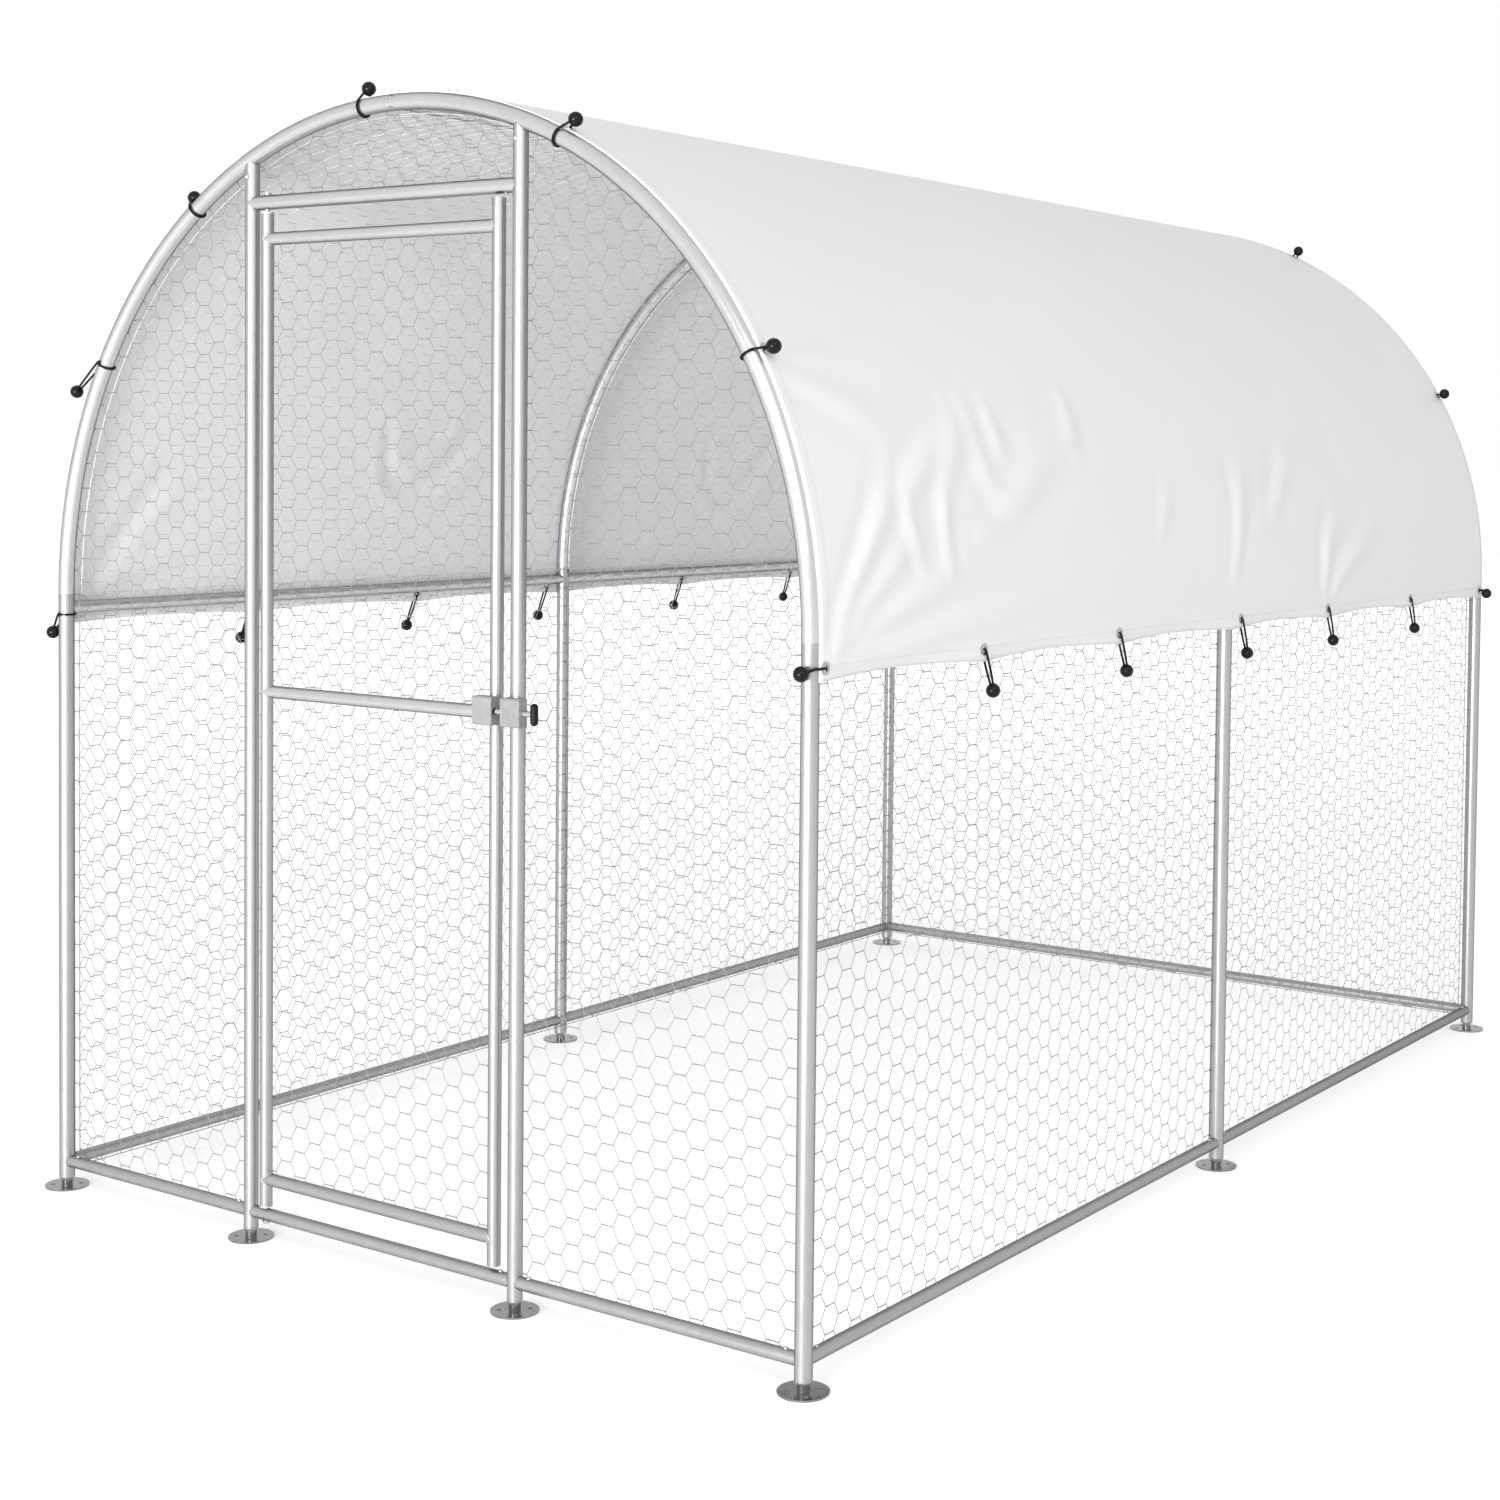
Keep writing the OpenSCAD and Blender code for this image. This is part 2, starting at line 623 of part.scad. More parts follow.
// Moves to a corner post at the eyelets' height, with +X outwards and +Y into the run
module on_corner(end, left) {
  mirror([0, end, 0]) mirror([left, 0, 0]) translate([side, front, eyelet_h]) children();
}

// Places its children at every eyelet, with +X out through the sheet
module at_eyelets() {
  for (end = [0, 1]) {
    for (b = FRONT_HOOP_BUNGEES) on_hoop(end, b[0]) translate([0, eyelet_inset, 0]) children();
    for (left = [0, 1]) on_corner(end, left) translate([0, eyelet_inset, 0]) children();
  }
  for (left = [0, 1], y = eave_places(left == 1 ? -1 : 1))
    mirror([left, 0, 0]) translate([side, y, eyelet_h]) children();
}

module cover_outline(r, low) {
  intersection() {
    translate([0, spring_h]) circle(r = r, $fn = 180);
    translate([-r, spring_h]) square([2 * r, r]);
  }
  translate([-r, low]) square([2 * r, spring_h - low]);
}

// Roof sheet: half round over the hoops, with straight skirts that curve up between the bungees
module cover() {
  barrel_hole = eyelet_bore + 2 * eyelet_t + 2 * eyelet_fit;
  stops = concat([front], [for (k = [1 : eave_bungees]) front + k * eave_step], [back]);
  sag_r = (pow(eave_step / 2, 2) + pow(hem_sag, 2)) / (2 * hem_sag);
  color(sheet_white) difference() {
    translate([0, back, 0]) rotate([90, 0, 0]) linear_extrude(run_l) difference() {
      cover_outline(cover_in_r + cover_t, hem_h);
      cover_outline(cover_in_r, hem_h - over);
    }
    for (k = [0 : eave_bungees])
      translate([0, (stops[k] + stops[k + 1]) / 2, hem_h + hem_sag - sag_r]) rotate([0, 90, 0])
        cylinder(r = sag_r, h = 2 * cover_in_r + 4 * cover_t, center = true, $fn = 360);
    at_eyelets() rotate([0, 90, 0]) cylinder(d = barrel_hole, h = post_d);
  }
}

// Pressed eyelet: a barrel through the sheet with a flange on each side
module eyelet() {
  reach = cover_t / 2 + eyelet_fit;
  rotate([0, 90, 0]) rotate_extrude() {
    translate([eyelet_bore / 2, -reach - eyelet_t]) square([eyelet_t, 2 * (reach + eyelet_t)]);
    for (z = [-reach - eyelet_t, reach])
      translate([eyelet_bore / 2, z]) square([(eyelet_d - eyelet_bore) / 2, eyelet_t]);
  }
}

module eyelets() {
  color(zinc) at_eyelets() translate([cover_mid_r - side, 0, 0]) eyelet();
}

// Tube of diameter d swept through a list of points. flat is a direction that the route never runs along
module cord_tube(points, d, flat) {
  sides = 6;
  n = len(points);
  function unit(v) = v / norm(v);
  function heading(k) = unit(points[min(k + 1, n - 1)] - points[max(k - 1, 0)]);
  rings = [
    for (k = [0 : n - 1])
      let (t = heading(k), u = unit(cross(t, flat)), v = cross(u, t))
        for (s = [0 : sides - 1]) points[k] + d / 2 * (cos(s * 360 / sides) * u + sin(s * 360 / sides) * v)
  ];
  walls = [
    for (k = [0 : n - 2], s = [0 : sides - 1])
      let (a = k * sides + s, b = k * sides + (s + 1) % sides)
        each [[a, b, b + sides], [a, b + sides, a + sides]]
  ];
  caps = [
    for (s = [1 : sides - 2]) each [[0, s + 1, s], (n - 1) * sides * [1, 1, 1] + [0, s, s + 1]]
  ];
  polyhedron(rings, concat(walls, caps));
}

wrap_r = post_d / 2 + cord_d / 2 + cord_gap;

// Half the strands' distance, square to the line from the tube to the ball
function strand_step(ball) = strand_gap / 2 * cross([0, 0, 1], [ball.x, ball.y, 0]) / norm([ball.x, ball.y]);

// Loop round a tube of the posts' size and back through the eyelet to its ball at [out, inwards, along]
function hoop_loop(ball) =
  let (
    way = atan2(ball.y, ball.x),
    open = acos(wrap_r / norm([ball.x, ball.y])),
    steps = 10,
    last = max(way + open, 85), // where the cord leaves the tube for the eyelet, square to the sheet
    turn = 360 + way - open - last
  )
  concat(
    [ball - strand_step(ball)],
    [for (k = [0 : steps]) let (a = way - open - k * turn / steps) wrap_r * [cos(a), sin(a), 0]],
    [[cover_mid_r - side + eyelet_t + cord_d, eyelet_inset, 0]],
    [ball + strand_step(ball)]
  );

// Loop whose ball is pulled round to the front: out past the sheet's edge, in through the eyelet and back
// behind the post
function front_loop(ball) =
  let (
    mid = cover_mid_r - side,
    out = mid + cover_t / 2 + eyelet_fit + eyelet_t + 2 * cord_gap + cord_d / 2,
    first = 120,
    last = 360 + atan2(ball.y, ball.x) - acos(wrap_r / norm([ball.x, ball.y])),
    steps = 5
  )
  concat(
    [ball + strand_step(ball)],
    [out * [cos(-35), sin(-35), 0]],
    [[out, eyelet_inset - eyelet_d / 2, 0]],
    [[out, eyelet_inset - cord_d, 0]],
    [[mid, eyelet_inset + cord_d / 3, 0]],
    [(wrap_r + eyelet_bore / 2) * [cos(62), sin(62), 0]],
    [(wrap_r + cord_d / 2) * [cos(92), sin(92), 0]],
    [for (k = [0 : steps]) let (a = first + k * (last - first) / steps) wrap_r * [cos(a), sin(a), 0]],
    [ball - strand_step(ball)]
  );

CORNER_BALL = [33, ball_back, -8];
FRONT_LEFT_BALL = [26, -10, -34];
FRONT_RIGHT_BALL = [5, -31, -6];
function arch_ball(b) = [b[1], ball_back, -b[2] * sign(cos(b[0]))];

module hoop_bungees(balls) {
  module bungee(ball, route) {
    if (balls) translate(ball) sphere(d = ball_d);
    else cord_tube(route, cord_d, [0, 0, 1]);
  }
  color(black) for (end = [0, 1]) {
    for (b = end == 0 ? FRONT_HOOP_BUNGEES : BACK_HOOP_BUNGEES) on_hoop(end, b[0])
      bungee(arch_ball(b), hoop_loop(arch_ball(b)));
    for (left = [0, 1]) on_corner(end, left)
      if (end == 0 && left == 0) bungee(FRONT_RIGHT_BALL, front_loop(FRONT_RIGHT_BALL));
      else let (ball = end == 0 ? FRONT_LEFT_BALL : CORNER_BALL) bungee(ball, hoop_loop(ball));
  }
}
module hoop_bungee_cords() { hoop_bungees(false); }
module hoop_bungee_balls() { hoop_bungees(true); }

// Loop through an eave eyelet, over the hem and down to its ball
function eave_loop() =
  let (
    r = cover_t / 2 + eyelet_fit + eyelet_t + cord_gap + cord_d / 2,
    bend = 0.5 - r,
    steps = 6
  )
  concat(
    [[strand_gap / 2, 0, -ball_drop], [r, 0, -ball_drop / 2]],
    [for (k = [0 : steps]) [r * cos(k * 180 / steps), 0, bend + r * sin(k * 180 / steps)]],
    [[-r, 0, -ball_drop / 2], [-strand_gap / 2, 0, -ball_drop]]
  );

module at_eave_bungees() {
  for (left = [0, 1], y = eave_places(left == 1 ? -1 : 1))
    mirror([left, 0, 0]) translate([cover_mid_r, y, eyelet_h])
      rotate([left == 1 ? -eave_lean : eave_lean, 0, 0]) children();
}
module eave_bungee_cords() { color(black) at_eave_bungees() cord_tube(eave_loop(), cord_d, [0, 1, 0]); }
module eave_bungee_balls() {
  color(black) at_eave_bungees() translate([0, 0, -ball_drop]) sphere(d = ball_d);
}

threshold_top = sill_h + rail_d / 2;
lintel_under = lintel_h - door_post_d / 2;
hinge_low = threshold_top + pin_collar_t + 2 * joint_gap;
hinge_high = lintel_under - hinge_top_gap;

// Pivot pins through the lintel and the threshold. The lower one has a collar that the door stands on
module pivot_pins() {
  color(dark_zinc) translate([hinge_stile_x, front, 0]) {
    top = lintel_h + door_post_d / 2 + joint_gap;
    translate([0, 0, hinge_high - pin_reach]) cylinder(d = pin_d, h = top + over - hinge_high + pin_reach);
    translate([0, 0, top]) cylinder(d = pin_head_d, h = pin_head_t);
    low = sill_h - rail_d / 2 - joint_gap;
    translate([0, 0, low - over]) cylinder(d = pin_d, h = hinge_low + pin_reach - low + over);
    translate([0, 0, low - pin_head_t]) cylinder(d = pin_head_d, h = pin_head_t);
    translate([0, 0, threshold_top + joint_gap]) cylinder(d = pin_head_d, h = pin_collar_t);
  }
}

// Flanged bush in each end of the hinge stile
module pivot_bushes() {
  plug_d = rail_d - 2 * rail_wall - 2 * bush_fit;
  color(dark_zinc) for (end = [[hinge_low, 0], [hinge_high, 180]])
    translate([hinge_stile_x, front, end[0]]) rotate([end[1], 0, 0]) difference() {
      union() {
        cylinder(d = rail_d, h = bush_flange_t);
        cylinder(d = plug_d, h = bush_flange_t + bush_l);
      }
      translate([0, 0, -over]) cylinder(d = pin_d + 2 * pin_fit, h = bush_flange_t + bush_l + 2 * over);
    }
}

module hinge_stile() {
  low = hinge_low + bush_flange_t;
  color(zinc) translate([hinge_stile_x, front, low])
    tube(rail_d, rail_wall, hinge_high - bush_flange_t - low);
}

module latch_stile() {
  low = threshold_top + latch_bottom_gap;
  color(zinc) translate([latch_stile_x, front, low])
    tube(rail_d, rail_wall, lintel_under - latch_top_gap - low);
}

module door_rail(h) {
  color(zinc) rail(rail_row([hinge_stile_x, front], [latch_stile_x, front], h, [rail_d, rail_d], 0));
}
module door_top_rail() { door_rail(door_top_h); }
module door_middle_rail() { door_rail(door_middle_h); }
module door_bottom_rail() { door_rail(door_bottom_h); }

module door_net() {
  color(wire_grey) net_across(front + rail_d / 2 + net_gap)
    net_sheet(hinge_stile_x, latch_stile_x, door_bottom_h - rail_d / 2, door_top_h + rail_d / 2);
}

latch_h = door_middle_h + latch_rise;
bolt_y = -(door_post_d / 2 + joint_gap + saddle_t + housing_d / 2);

// Housing along X from x0 to x1, bored for the bolt, whose back clears a tube of radius seat_r. The child joins it
module bolt_housing(seat_r, x0, x1, bore) {
  face = bolt_y - housing_d / 2;
  half = saddle_h / 2;
  difference() {
    union() {
      children();
      translate([x0, 0, 0]) rotate([90, 0, 90]) linear_extrude(x1 - x0) polygon([
        [-seat_r, -half], [face + housing_edge, -half], [face, housing_edge - half],
        [face, half - housing_edge], [face + housing_edge, half], [-seat_r, half]
      ]);
    }
    translate([x0 - over, bolt_y, 0]) rotate([0, 90, 0]) cylinder(d = bore, h = x1 - x0 + 2 * over);
    cylinder(r = seat_r, h = 2 * saddle_h, center = true);
  }
}

// Guide on the latch post: a half saddle round the post's front
module latch_guide() {
  seat_r = door_post_d / 2 + joint_gap;
  color(zinc) translate([latch_x, front, latch_h])
    bolt_housing(seat_r, -guide_in, guide_out, bolt_d + 2 * bolt_fit)
      rotate([0, 0, 180]) rotate_extrude(angle = 180) translate([seat_r, -saddle_h / 2])
        square([saddle_t, saddle_h]);
}

// Keeper on the door: its flat back lies against the latch stile and the middle rail
module latch_keeper() {
  color(zinc) translate([latch_stile_x, front, latch_h])
    bolt_housing(rail_d / 2 + joint_gap, -keeper_in, keeper_reach, bolt_d + 2 * keeper_play);
}

bolt_tip = latch_stile_x + keeper_reach + bolt_tip_gap;
knob_x = latch_x + guide_out + bolt_travel + bolt_tip_gap + knob_d / 2;

// Round bolt, drawn back, with a chamfered tip
module latch_bolt() {
  tip = bolt_d / 5;
  color(dark_zinc) translate([bolt_tip, front + bolt_y, latch_h]) rotate([0, 90, 0]) {
    cylinder(d1 = bolt_d - 2 * tip, d2 = bolt_d, h = tip);
    translate([0, 0, tip]) cylinder(d = bolt_d, h = knob_x - bolt_tip - tip);
  }
}

// Upright grip on the bolt's outer end, with rounded ends
module latch_knob() {
  r = knob_d / 2;
  color(black) translate([knob_x, front + bolt_y, latch_h]) difference() {
    rotate_extrude() difference() {
      union() {
        translate([0, -knob_h / 2 + r]) square([r, knob_h - 2 * r]);
        for (z = [-knob_h / 2 + r, knob_h / 2 - r]) intersection() {
          translate([0, z]) circle(r = r);
          translate([0, -knob_h]) square([r, 2 * knob_h]);
        }
      }
    }
    rotate([0, -90, 0]) translate([0, 0, -bolt_fit]) cylinder(d = bolt_d + 2 * bolt_fit, h = knob_d);
  }
}

front_left_post();
front_right_post();
middle_left_post();
middle_right_post();
back_left_post();
back_right_post();
front_left_hoop();
front_right_hoop();
middle_left_hoop();
middle_right_hoop();
back_left_hoop();
back_right_hoop();
crown_joiners();
hinge_post();
latch_post();
lintel();
threshold();
front_left_sill();
front_right_sill();
left_front_sill();
left_back_sill();
right_front_sill();
right_back_sill();
back_sill();
left_front_eave();
left_back_eave();
right_front_eave();
right_back_eave();
front_ridge();
back_ridge();
foot_plates();
rail_screws();
front_left_net();
front_right_net();
transom_net();
left_front_net();
left_back_net();
right_front_net();
right_back_net();
back_net();
roof_net();
cover();
eyelets();
hoop_bungee_cords();
hoop_bungee_balls();
eave_bungee_cords();
eave_bungee_balls();
pivot_pins();
hinge_stile();
latch_stile();
door_top_rail();
door_middle_rail();
door_bottom_rail();
door_net();
pivot_bushes();
latch_guide();
latch_keeper();
latch_bolt();
latch_knob();
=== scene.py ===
import math

import bmesh
import bpy
import numpy as np
from mathutils import Matrix, Vector


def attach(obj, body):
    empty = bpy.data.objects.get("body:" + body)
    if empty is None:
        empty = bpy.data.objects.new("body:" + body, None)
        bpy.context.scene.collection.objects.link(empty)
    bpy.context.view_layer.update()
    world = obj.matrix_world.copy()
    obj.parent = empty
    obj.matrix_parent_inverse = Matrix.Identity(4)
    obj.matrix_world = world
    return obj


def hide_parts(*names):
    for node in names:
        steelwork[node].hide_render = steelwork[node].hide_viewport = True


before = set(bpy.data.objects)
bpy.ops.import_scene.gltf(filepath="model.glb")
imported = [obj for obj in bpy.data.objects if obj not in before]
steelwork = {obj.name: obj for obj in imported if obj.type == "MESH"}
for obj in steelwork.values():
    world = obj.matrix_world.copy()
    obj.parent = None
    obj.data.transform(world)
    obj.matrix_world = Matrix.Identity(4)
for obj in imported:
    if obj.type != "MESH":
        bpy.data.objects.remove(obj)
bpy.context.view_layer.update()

# The view
# The run is seen from standing height off its front right corner, so that its door end and right side show.
# The lens axis meets the picture above and to the right of its middle, as in the photograph.
picture, lens_length, film_w, farthest = 1500, 2400.56, 36, 80
axis_x, axis_y = 850.0, 540.73
eye = Vector((2.8753, -4.2716, 1.3965))
heading, dip, lean = (math.radians(a) for a in (34.2811, -2.1369, 0.6076))


def put_in(name, data):
    """A new object of the scene that holds this mesh, curve, lamp or lens."""
    made = bpy.data.objects.new(name, data)
    bpy.context.scene.collection.objects.link(made)
    return made


ahead = Vector((-math.sin(heading) * math.cos(dip), math.cos(heading) * math.cos(dip), math.sin(dip)))
level = Vector((math.cos(heading), math.sin(heading), 0))
plumb = level.cross(ahead)
rightward = level * math.cos(lean) + plumb * math.sin(lean)
upward = plumb * math.cos(lean) - level * math.sin(lean)
lens = bpy.data.cameras.new("corner_view")
lens.sensor_width = film_w
lens.lens = film_w * lens_length / picture
lens.shift_x = (picture / 2 - axis_x) / picture
lens.shift_y = (axis_y - picture / 2) / picture
lens.clip_end = farthest
camera = put_in("corner_view", lens)
camera.matrix_world = Matrix.Translation(eye) @ Matrix((rightward, upward, -ahead)).transposed().to_4x4()
bpy.context.scene.camera = camera

# Posts and hoops
# Six posts and three half-round hoops of 28 mm steel tube, hot-dip galvanised; the hoops take a lit copy of
# the same zinc whose lighter tone is painted light. Each hoop half drops into its post by a swaged end, and
# a sleeve inside the crown joins the two halves.
post_tone, hoop_painted_light_tone = (0.42, 0.425, 0.432, 1), (0.60, 0.604, 0.61, 1)
splash_tone = (0.42, 0.40, 0.37, 1)
splash_reach, splash_dulls, pit_deep = 0.35, 0.4, 0.0004


def wire_up(tree, kind, settings=None, **sockets):
    """Adds a shader node. Its sockets, named with _ for a space or numbered n0, n1, get values or links."""
    made = tree.nodes.new("ShaderNode" + kind)
    for key, value in (settings or {}).items():
        setattr(made, key, value)
    for key, value in sockets.items():
        numbered = key[0] == "n" and key[1:].isdigit()
        socket = made.inputs[int(key[1:]) if numbered else key.replace("_", " ")]
        if isinstance(value, bpy.types.NodeSocket):
            tree.links.new(value, socket)
        else:
            socket.default_value = value
    return made


def mix_tones(tree, share, first, second):
    return wire_up(tree, "Mix", {"data_type": "RGBA"}, n0=share, n6=first, n7=second).outputs[2]


def reckon(tree, way, first, second=0.0, clamp=False):
    settings = {"operation": way, "use_clamp": clamp}
    return wire_up(tree, "Math", settings, n0=first, n1=second).outputs[0]


def add_share(tree, base, extra, share):
    """base plus a share of extra."""
    return reckon(tree, "ADD", base, reckon(tree, "MULTIPLY", extra, share))


def speckle(tree, at, scale, detail):
    return wire_up(tree, "TexNoise", Vector=at, Scale=scale, Detail=detail).outputs[0]


def on_piece(tree):
    """Places on the piece itself, in metres."""
    return wire_up(tree, "TexCoord").outputs["Object"]


def effect_group(name, inputs, outputs):
    """An empty shader group with these sockets, and its two end nodes."""
    group = bpy.data.node_groups.new(name, "ShaderNodeTree")
    for label, kind, value in inputs:
        group.interface.new_socket(name=label, in_out="INPUT", socket_type=kind).default_value = value
    for label, kind in outputs:
        group.interface.new_socket(name=label, in_out="OUTPUT", socket_type=kind)
    return group, group.nodes.new("NodeGroupInput"), group.nodes.new("NodeGroupOutput")


# Zinc from the bath: faint crystals, slow clouding, and fine pits
cloud_scale, pit_scale = 7.0, 650.0
crystal_share, cloud_share, pit_share, dull_share, middle_shade = 0.55, 0.9, 0.5, 0.6, 0.72
zinc_bloom, bloom_in, bloom_out = effect_group(
    "zinc_bloom",
    [("Tone", "NodeSocketColor", post_tone), ("Crystals", "NodeSocketFloat", 90.0),
     ("Contrast", "NodeSocketFloat", 0.2), ("Dullness", "NodeSocketFloat", 0.34)],
    [("Colour", "NodeSocketColor"), ("Roughness", "NodeSocketFloat"), ("Height", "NodeSocketFloat")])
place = on_piece(zinc_bloom)
crystals = wire_up(zinc_bloom, "TexVoronoi", Vector=place, Scale=bloom_in.outputs["Crystals"])
grain = wire_up(zinc_bloom, "RGBToBW", Color=crystals.outputs["Color"]).outputs[0]
clouds = speckle(zinc_bloom, place, cloud_scale, 4.0)
pits = speckle(zinc_bloom, place, pit_scale, 2.0)
shade = add_share(zinc_bloom, reckon(zinc_bloom, "MULTIPLY", grain, crystal_share), clouds, cloud_share)
off_middle = reckon(zinc_bloom, "SUBTRACT", shade, middle_shade)
swing = reckon(zinc_bloom, "MULTIPLY", off_middle, bloom_in.outputs["Contrast"])
lit = wire_up(zinc_bloom, "VectorMath", {"operation": "SCALE"}, Vector=bloom_in.outputs["Tone"],
              Scale=reckon(zinc_bloom, "ADD", swing, 1.0))
zinc_bloom.links.new(lit.outputs[0], bloom_out.inputs["Colour"])
zinc_bloom.links.new(add_share(zinc_bloom, bloom_in.outputs["Dullness"], swing, dull_share),
                     bloom_out.inputs["Roughness"])
zinc_bloom.links.new(add_share(zinc_bloom, grain, pits, pit_share), bloom_out.inputs["Height"])

# Dried splashes that thin out upwards from the ground
speck_scale, speck_floor, speck_gain = 55.0, 0.42, 4.0
ground_splash, splash_in, splash_out = effect_group(
    "ground_splash", [("Reach", "NodeSocketFloat", 0.3), ("Amount", "NodeSocketFloat", 0.4)],
    [("Mask", "NodeSocketFloat")])
place = on_piece(ground_splash)
height = wire_up(ground_splash, "SeparateXYZ", Vector=place).outputs["Z"]
climb = reckon(ground_splash, "DIVIDE", height, splash_in.outputs["Reach"])
low = reckon(ground_splash, "SUBTRACT", 1.0, climb, clamp=True)
specks = reckon(ground_splash, "SUBTRACT", speckle(ground_splash, place, speck_scale, 5.0), speck_floor)
specks = reckon(ground_splash, "MULTIPLY", specks, speck_gain, clamp=True)
splashed = reckon(ground_splash, "MULTIPLY", low, specks)
ground_splash.links.new(reckon(ground_splash, "MULTIPLY", splashed, splash_in.outputs["Amount"]),
                        splash_out.inputs["Mask"])


def blank_finish(name):
    """A new material, its node tree and its surface shader."""
    finish = bpy.data.materials.new(name)
    finish.use_nodes = True
    return finish, finish.node_tree, finish.node_tree.nodes["Principled BSDF"]


def coat(tree, skin, colour, rough):
    tree.links.new(colour, skin.inputs["Base Color"])
    tree.links.new(rough, skin.inputs["Roughness"])


def emboss(tree, skin, height, deep, strength):
    bump = wire_up(tree, "Bump", Height=height, Distance=deep, Strength=strength)
    tree.links.new(bump.outputs[0], skin.inputs["Normal"])


def zinc_finish(name, tone, crystals, contrast, dullness, metal, pitting, splash=0.0, edge_tint=1.0):
    """Galvanised steel: the zinc's bloom, with splashes near the ground where the piece stands there."""
    finish, tree, skin = blank_finish(name)
    bloom = wire_up(tree, "Group", {"node_tree": zinc_bloom}, Tone=tone, Crystals=crystals,
                    Contrast=contrast, Dullness=dullness)
    colour, rough = bloom.outputs["Colour"], bloom.outputs["Roughness"]
    if splash:
        mask = wire_up(tree, "Group", {"node_tree": ground_splash}, Reach=splash_reach,
                       Amount=splash).outputs["Mask"]
        colour = mix_tones(tree, mask, colour, splash_tone)
        rough = add_share(tree, rough, mask, splash_dulls)
    coat(tree, skin, colour, rough)
    skin.inputs["Metallic"].default_value = metal
    skin.inputs["Specular Tint"].default_value = (edge_tint, edge_tint, edge_tint, 1)
    emboss(tree, skin, bloom.outputs["Height"], pit_deep, pitting)
    return finish


def dress(finish, *names):
    """Gives CAD pieces that stay as they are their finish."""
    for name in names:
        steelwork[name].data.materials.clear()
        steelwork[name].data.materials.append(finish)


tube_zinc = zinc_finish("tube_zinc", post_tone, crystals=90.0, contrast=0.10, dullness=0.36, metal=0.88,
                        pitting=0.04, splash=0.25, edge_tint=0.0)
# The hoops' zinc: a lit copy of the tube zinc, its lighter tone painted light
hoop_zinc_painted_light = zinc_finish("hoop_zinc_painted_light", hoop_painted_light_tone, crystals=90.0, contrast=0.10, dullness=0.30, metal=0.95,
                        pitting=0.04, edge_tint=0.0)
for end in ("front", "middle", "back"):
    dress(tube_zinc, f"{end}_left_post", f"{end}_right_post")
    dress(hoop_zinc_painted_light, f"{end}_left_hoop", f"{end}_right_hoop")
dress(hoop_zinc_painted_light, "crown_joiners")

# Door posts, lintel and threshold
# Two 25 mm tubes stand from the ground to the underside of the front hoop. The lintel and the threshold
# slide over spigots welded to them, and all of it is galvanised with the rest of the frame.
dress(tube_zinc, "hinge_post", "latch_post", "threshold")
# The lintel takes the hoops' lit copy of the zinc, its lighter tone painted light
dress(hoop_zinc_painted_light, "lintel")

# Sills, eave rails and ridge rails
# 22 mm galvanised tubes with ends shaped to the posts and crowns. They slide over spigots there, and screws
# hold them. The rails up at the eaves and the ridge take the hoops' lit copy of the zinc, painted lighter.
dress(tube_zinc, "front_left_sill", "front_right_sill", "back_sill")
for hand in ("left", "right"):
    dress(tube_zinc, f"{hand}_front_sill", f"{hand}_back_sill")
    dress(hoop_zinc_painted_light, f"{hand}_front_eave", f"{hand}_back_eave")
dress(hoop_zinc_painted_light, "front_ridge", "back_ridge")

# Foot plates
# Pressed steel discs with four peg holes, a short neck and a plug that goes up into the post. Their zinc is
# shinier than the tubes' and dusty from the ground, and its darker tone is a painted dark reflection.
foot_painted_reflection_tone = (0.24, 0.245, 0.25, 1)
foot_zinc = zinc_finish("foot_zinc", foot_painted_reflection_tone, crystals=60.0, contrast=0.4, dullness=0.15, metal=0.9,
                        pitting=0.08, splash=0.2)
dress(foot_zinc, "foot_plates")

# Rail screws
# Bright zinc pan-head tapping screws, driven through the rail ends into their spigots, and through the door
# posts into the hoop's. The head is domed, with a cross recess, and sits on the tube.
screw_tone = (0.56, 0.56, 0.55, 1)
head_r, head_t, shank_r, shank_l = 0.004, 0.0024, 0.00195, 0.006
recess_r, recess_w, recess_deep = 0.0022, 0.0005, 0.0013


def turned(profile, around):
    """Vertices and faces of a profile of (radius, height) pairs turned about Z, closed at both ends."""
    turn = np.arange(around) * 2 * math.pi / around
    rings = np.array([[(r * math.cos(a), r * math.sin(a), z) for a in turn] for r, z in profile[1:-1]])
    points = [(0, 0, profile[0][1])] + [tuple(p) for p in rings.reshape(-1, 3)] + [(0, 0, profile[-1][1])]
    last = len(points) - 1
    faces = []
    for k in range(around):
        n = (k + 1) % around
        faces.append((0, 1 + n, 1 + k))
        for row in range(len(rings) - 1):
            a, b = 1 + row * around, 1 + (row + 1) * around
            faces.append((a + k, a + n, b + n, b + k))
        top = 1 + (len(rings) - 1) * around
        faces.append((top + k, top + n, last))
    return np.array(points, float), faces


def loose_solids(name):
    """The points of each separate solid in a CAD node, read from a welded copy."""
    copy = bmesh.new()
    copy.from_mesh(steelwork[name].data)
    bmesh.ops.remove_doubles(copy, verts=copy.verts, dist=1e-6)
    left, solids = set(copy.verts), []
    while left:
        seed = min(left, key=lambda v: v.index)
        solid, edge = {seed}, [seed]
        while edge:
            for link in edge.pop().link_edges:
                for v in link.verts:
                    if v not in solid:
                        solid.add(v)
                        edge.append(v)
        left -= solid
        solids.append(np.array([v.co for v in solid]))
    copy.free()
    return sorted(solids, key=lambda s: tuple(np.round(s.mean(0), 4)))


def piece(name, points, faces, finish, body="frame"):
    """A new mesh piece with its finish, riding on a CAD body."""
    mesh = bpy.data.meshes.new(name)
    mesh.from_pydata([tuple(p) for p in points], [], [tuple(f) for f in faces])
    mesh.materials.append(finish)
    mesh.shade_smooth()
    made = put_in(name, mesh)
    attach(made, body)
    return made


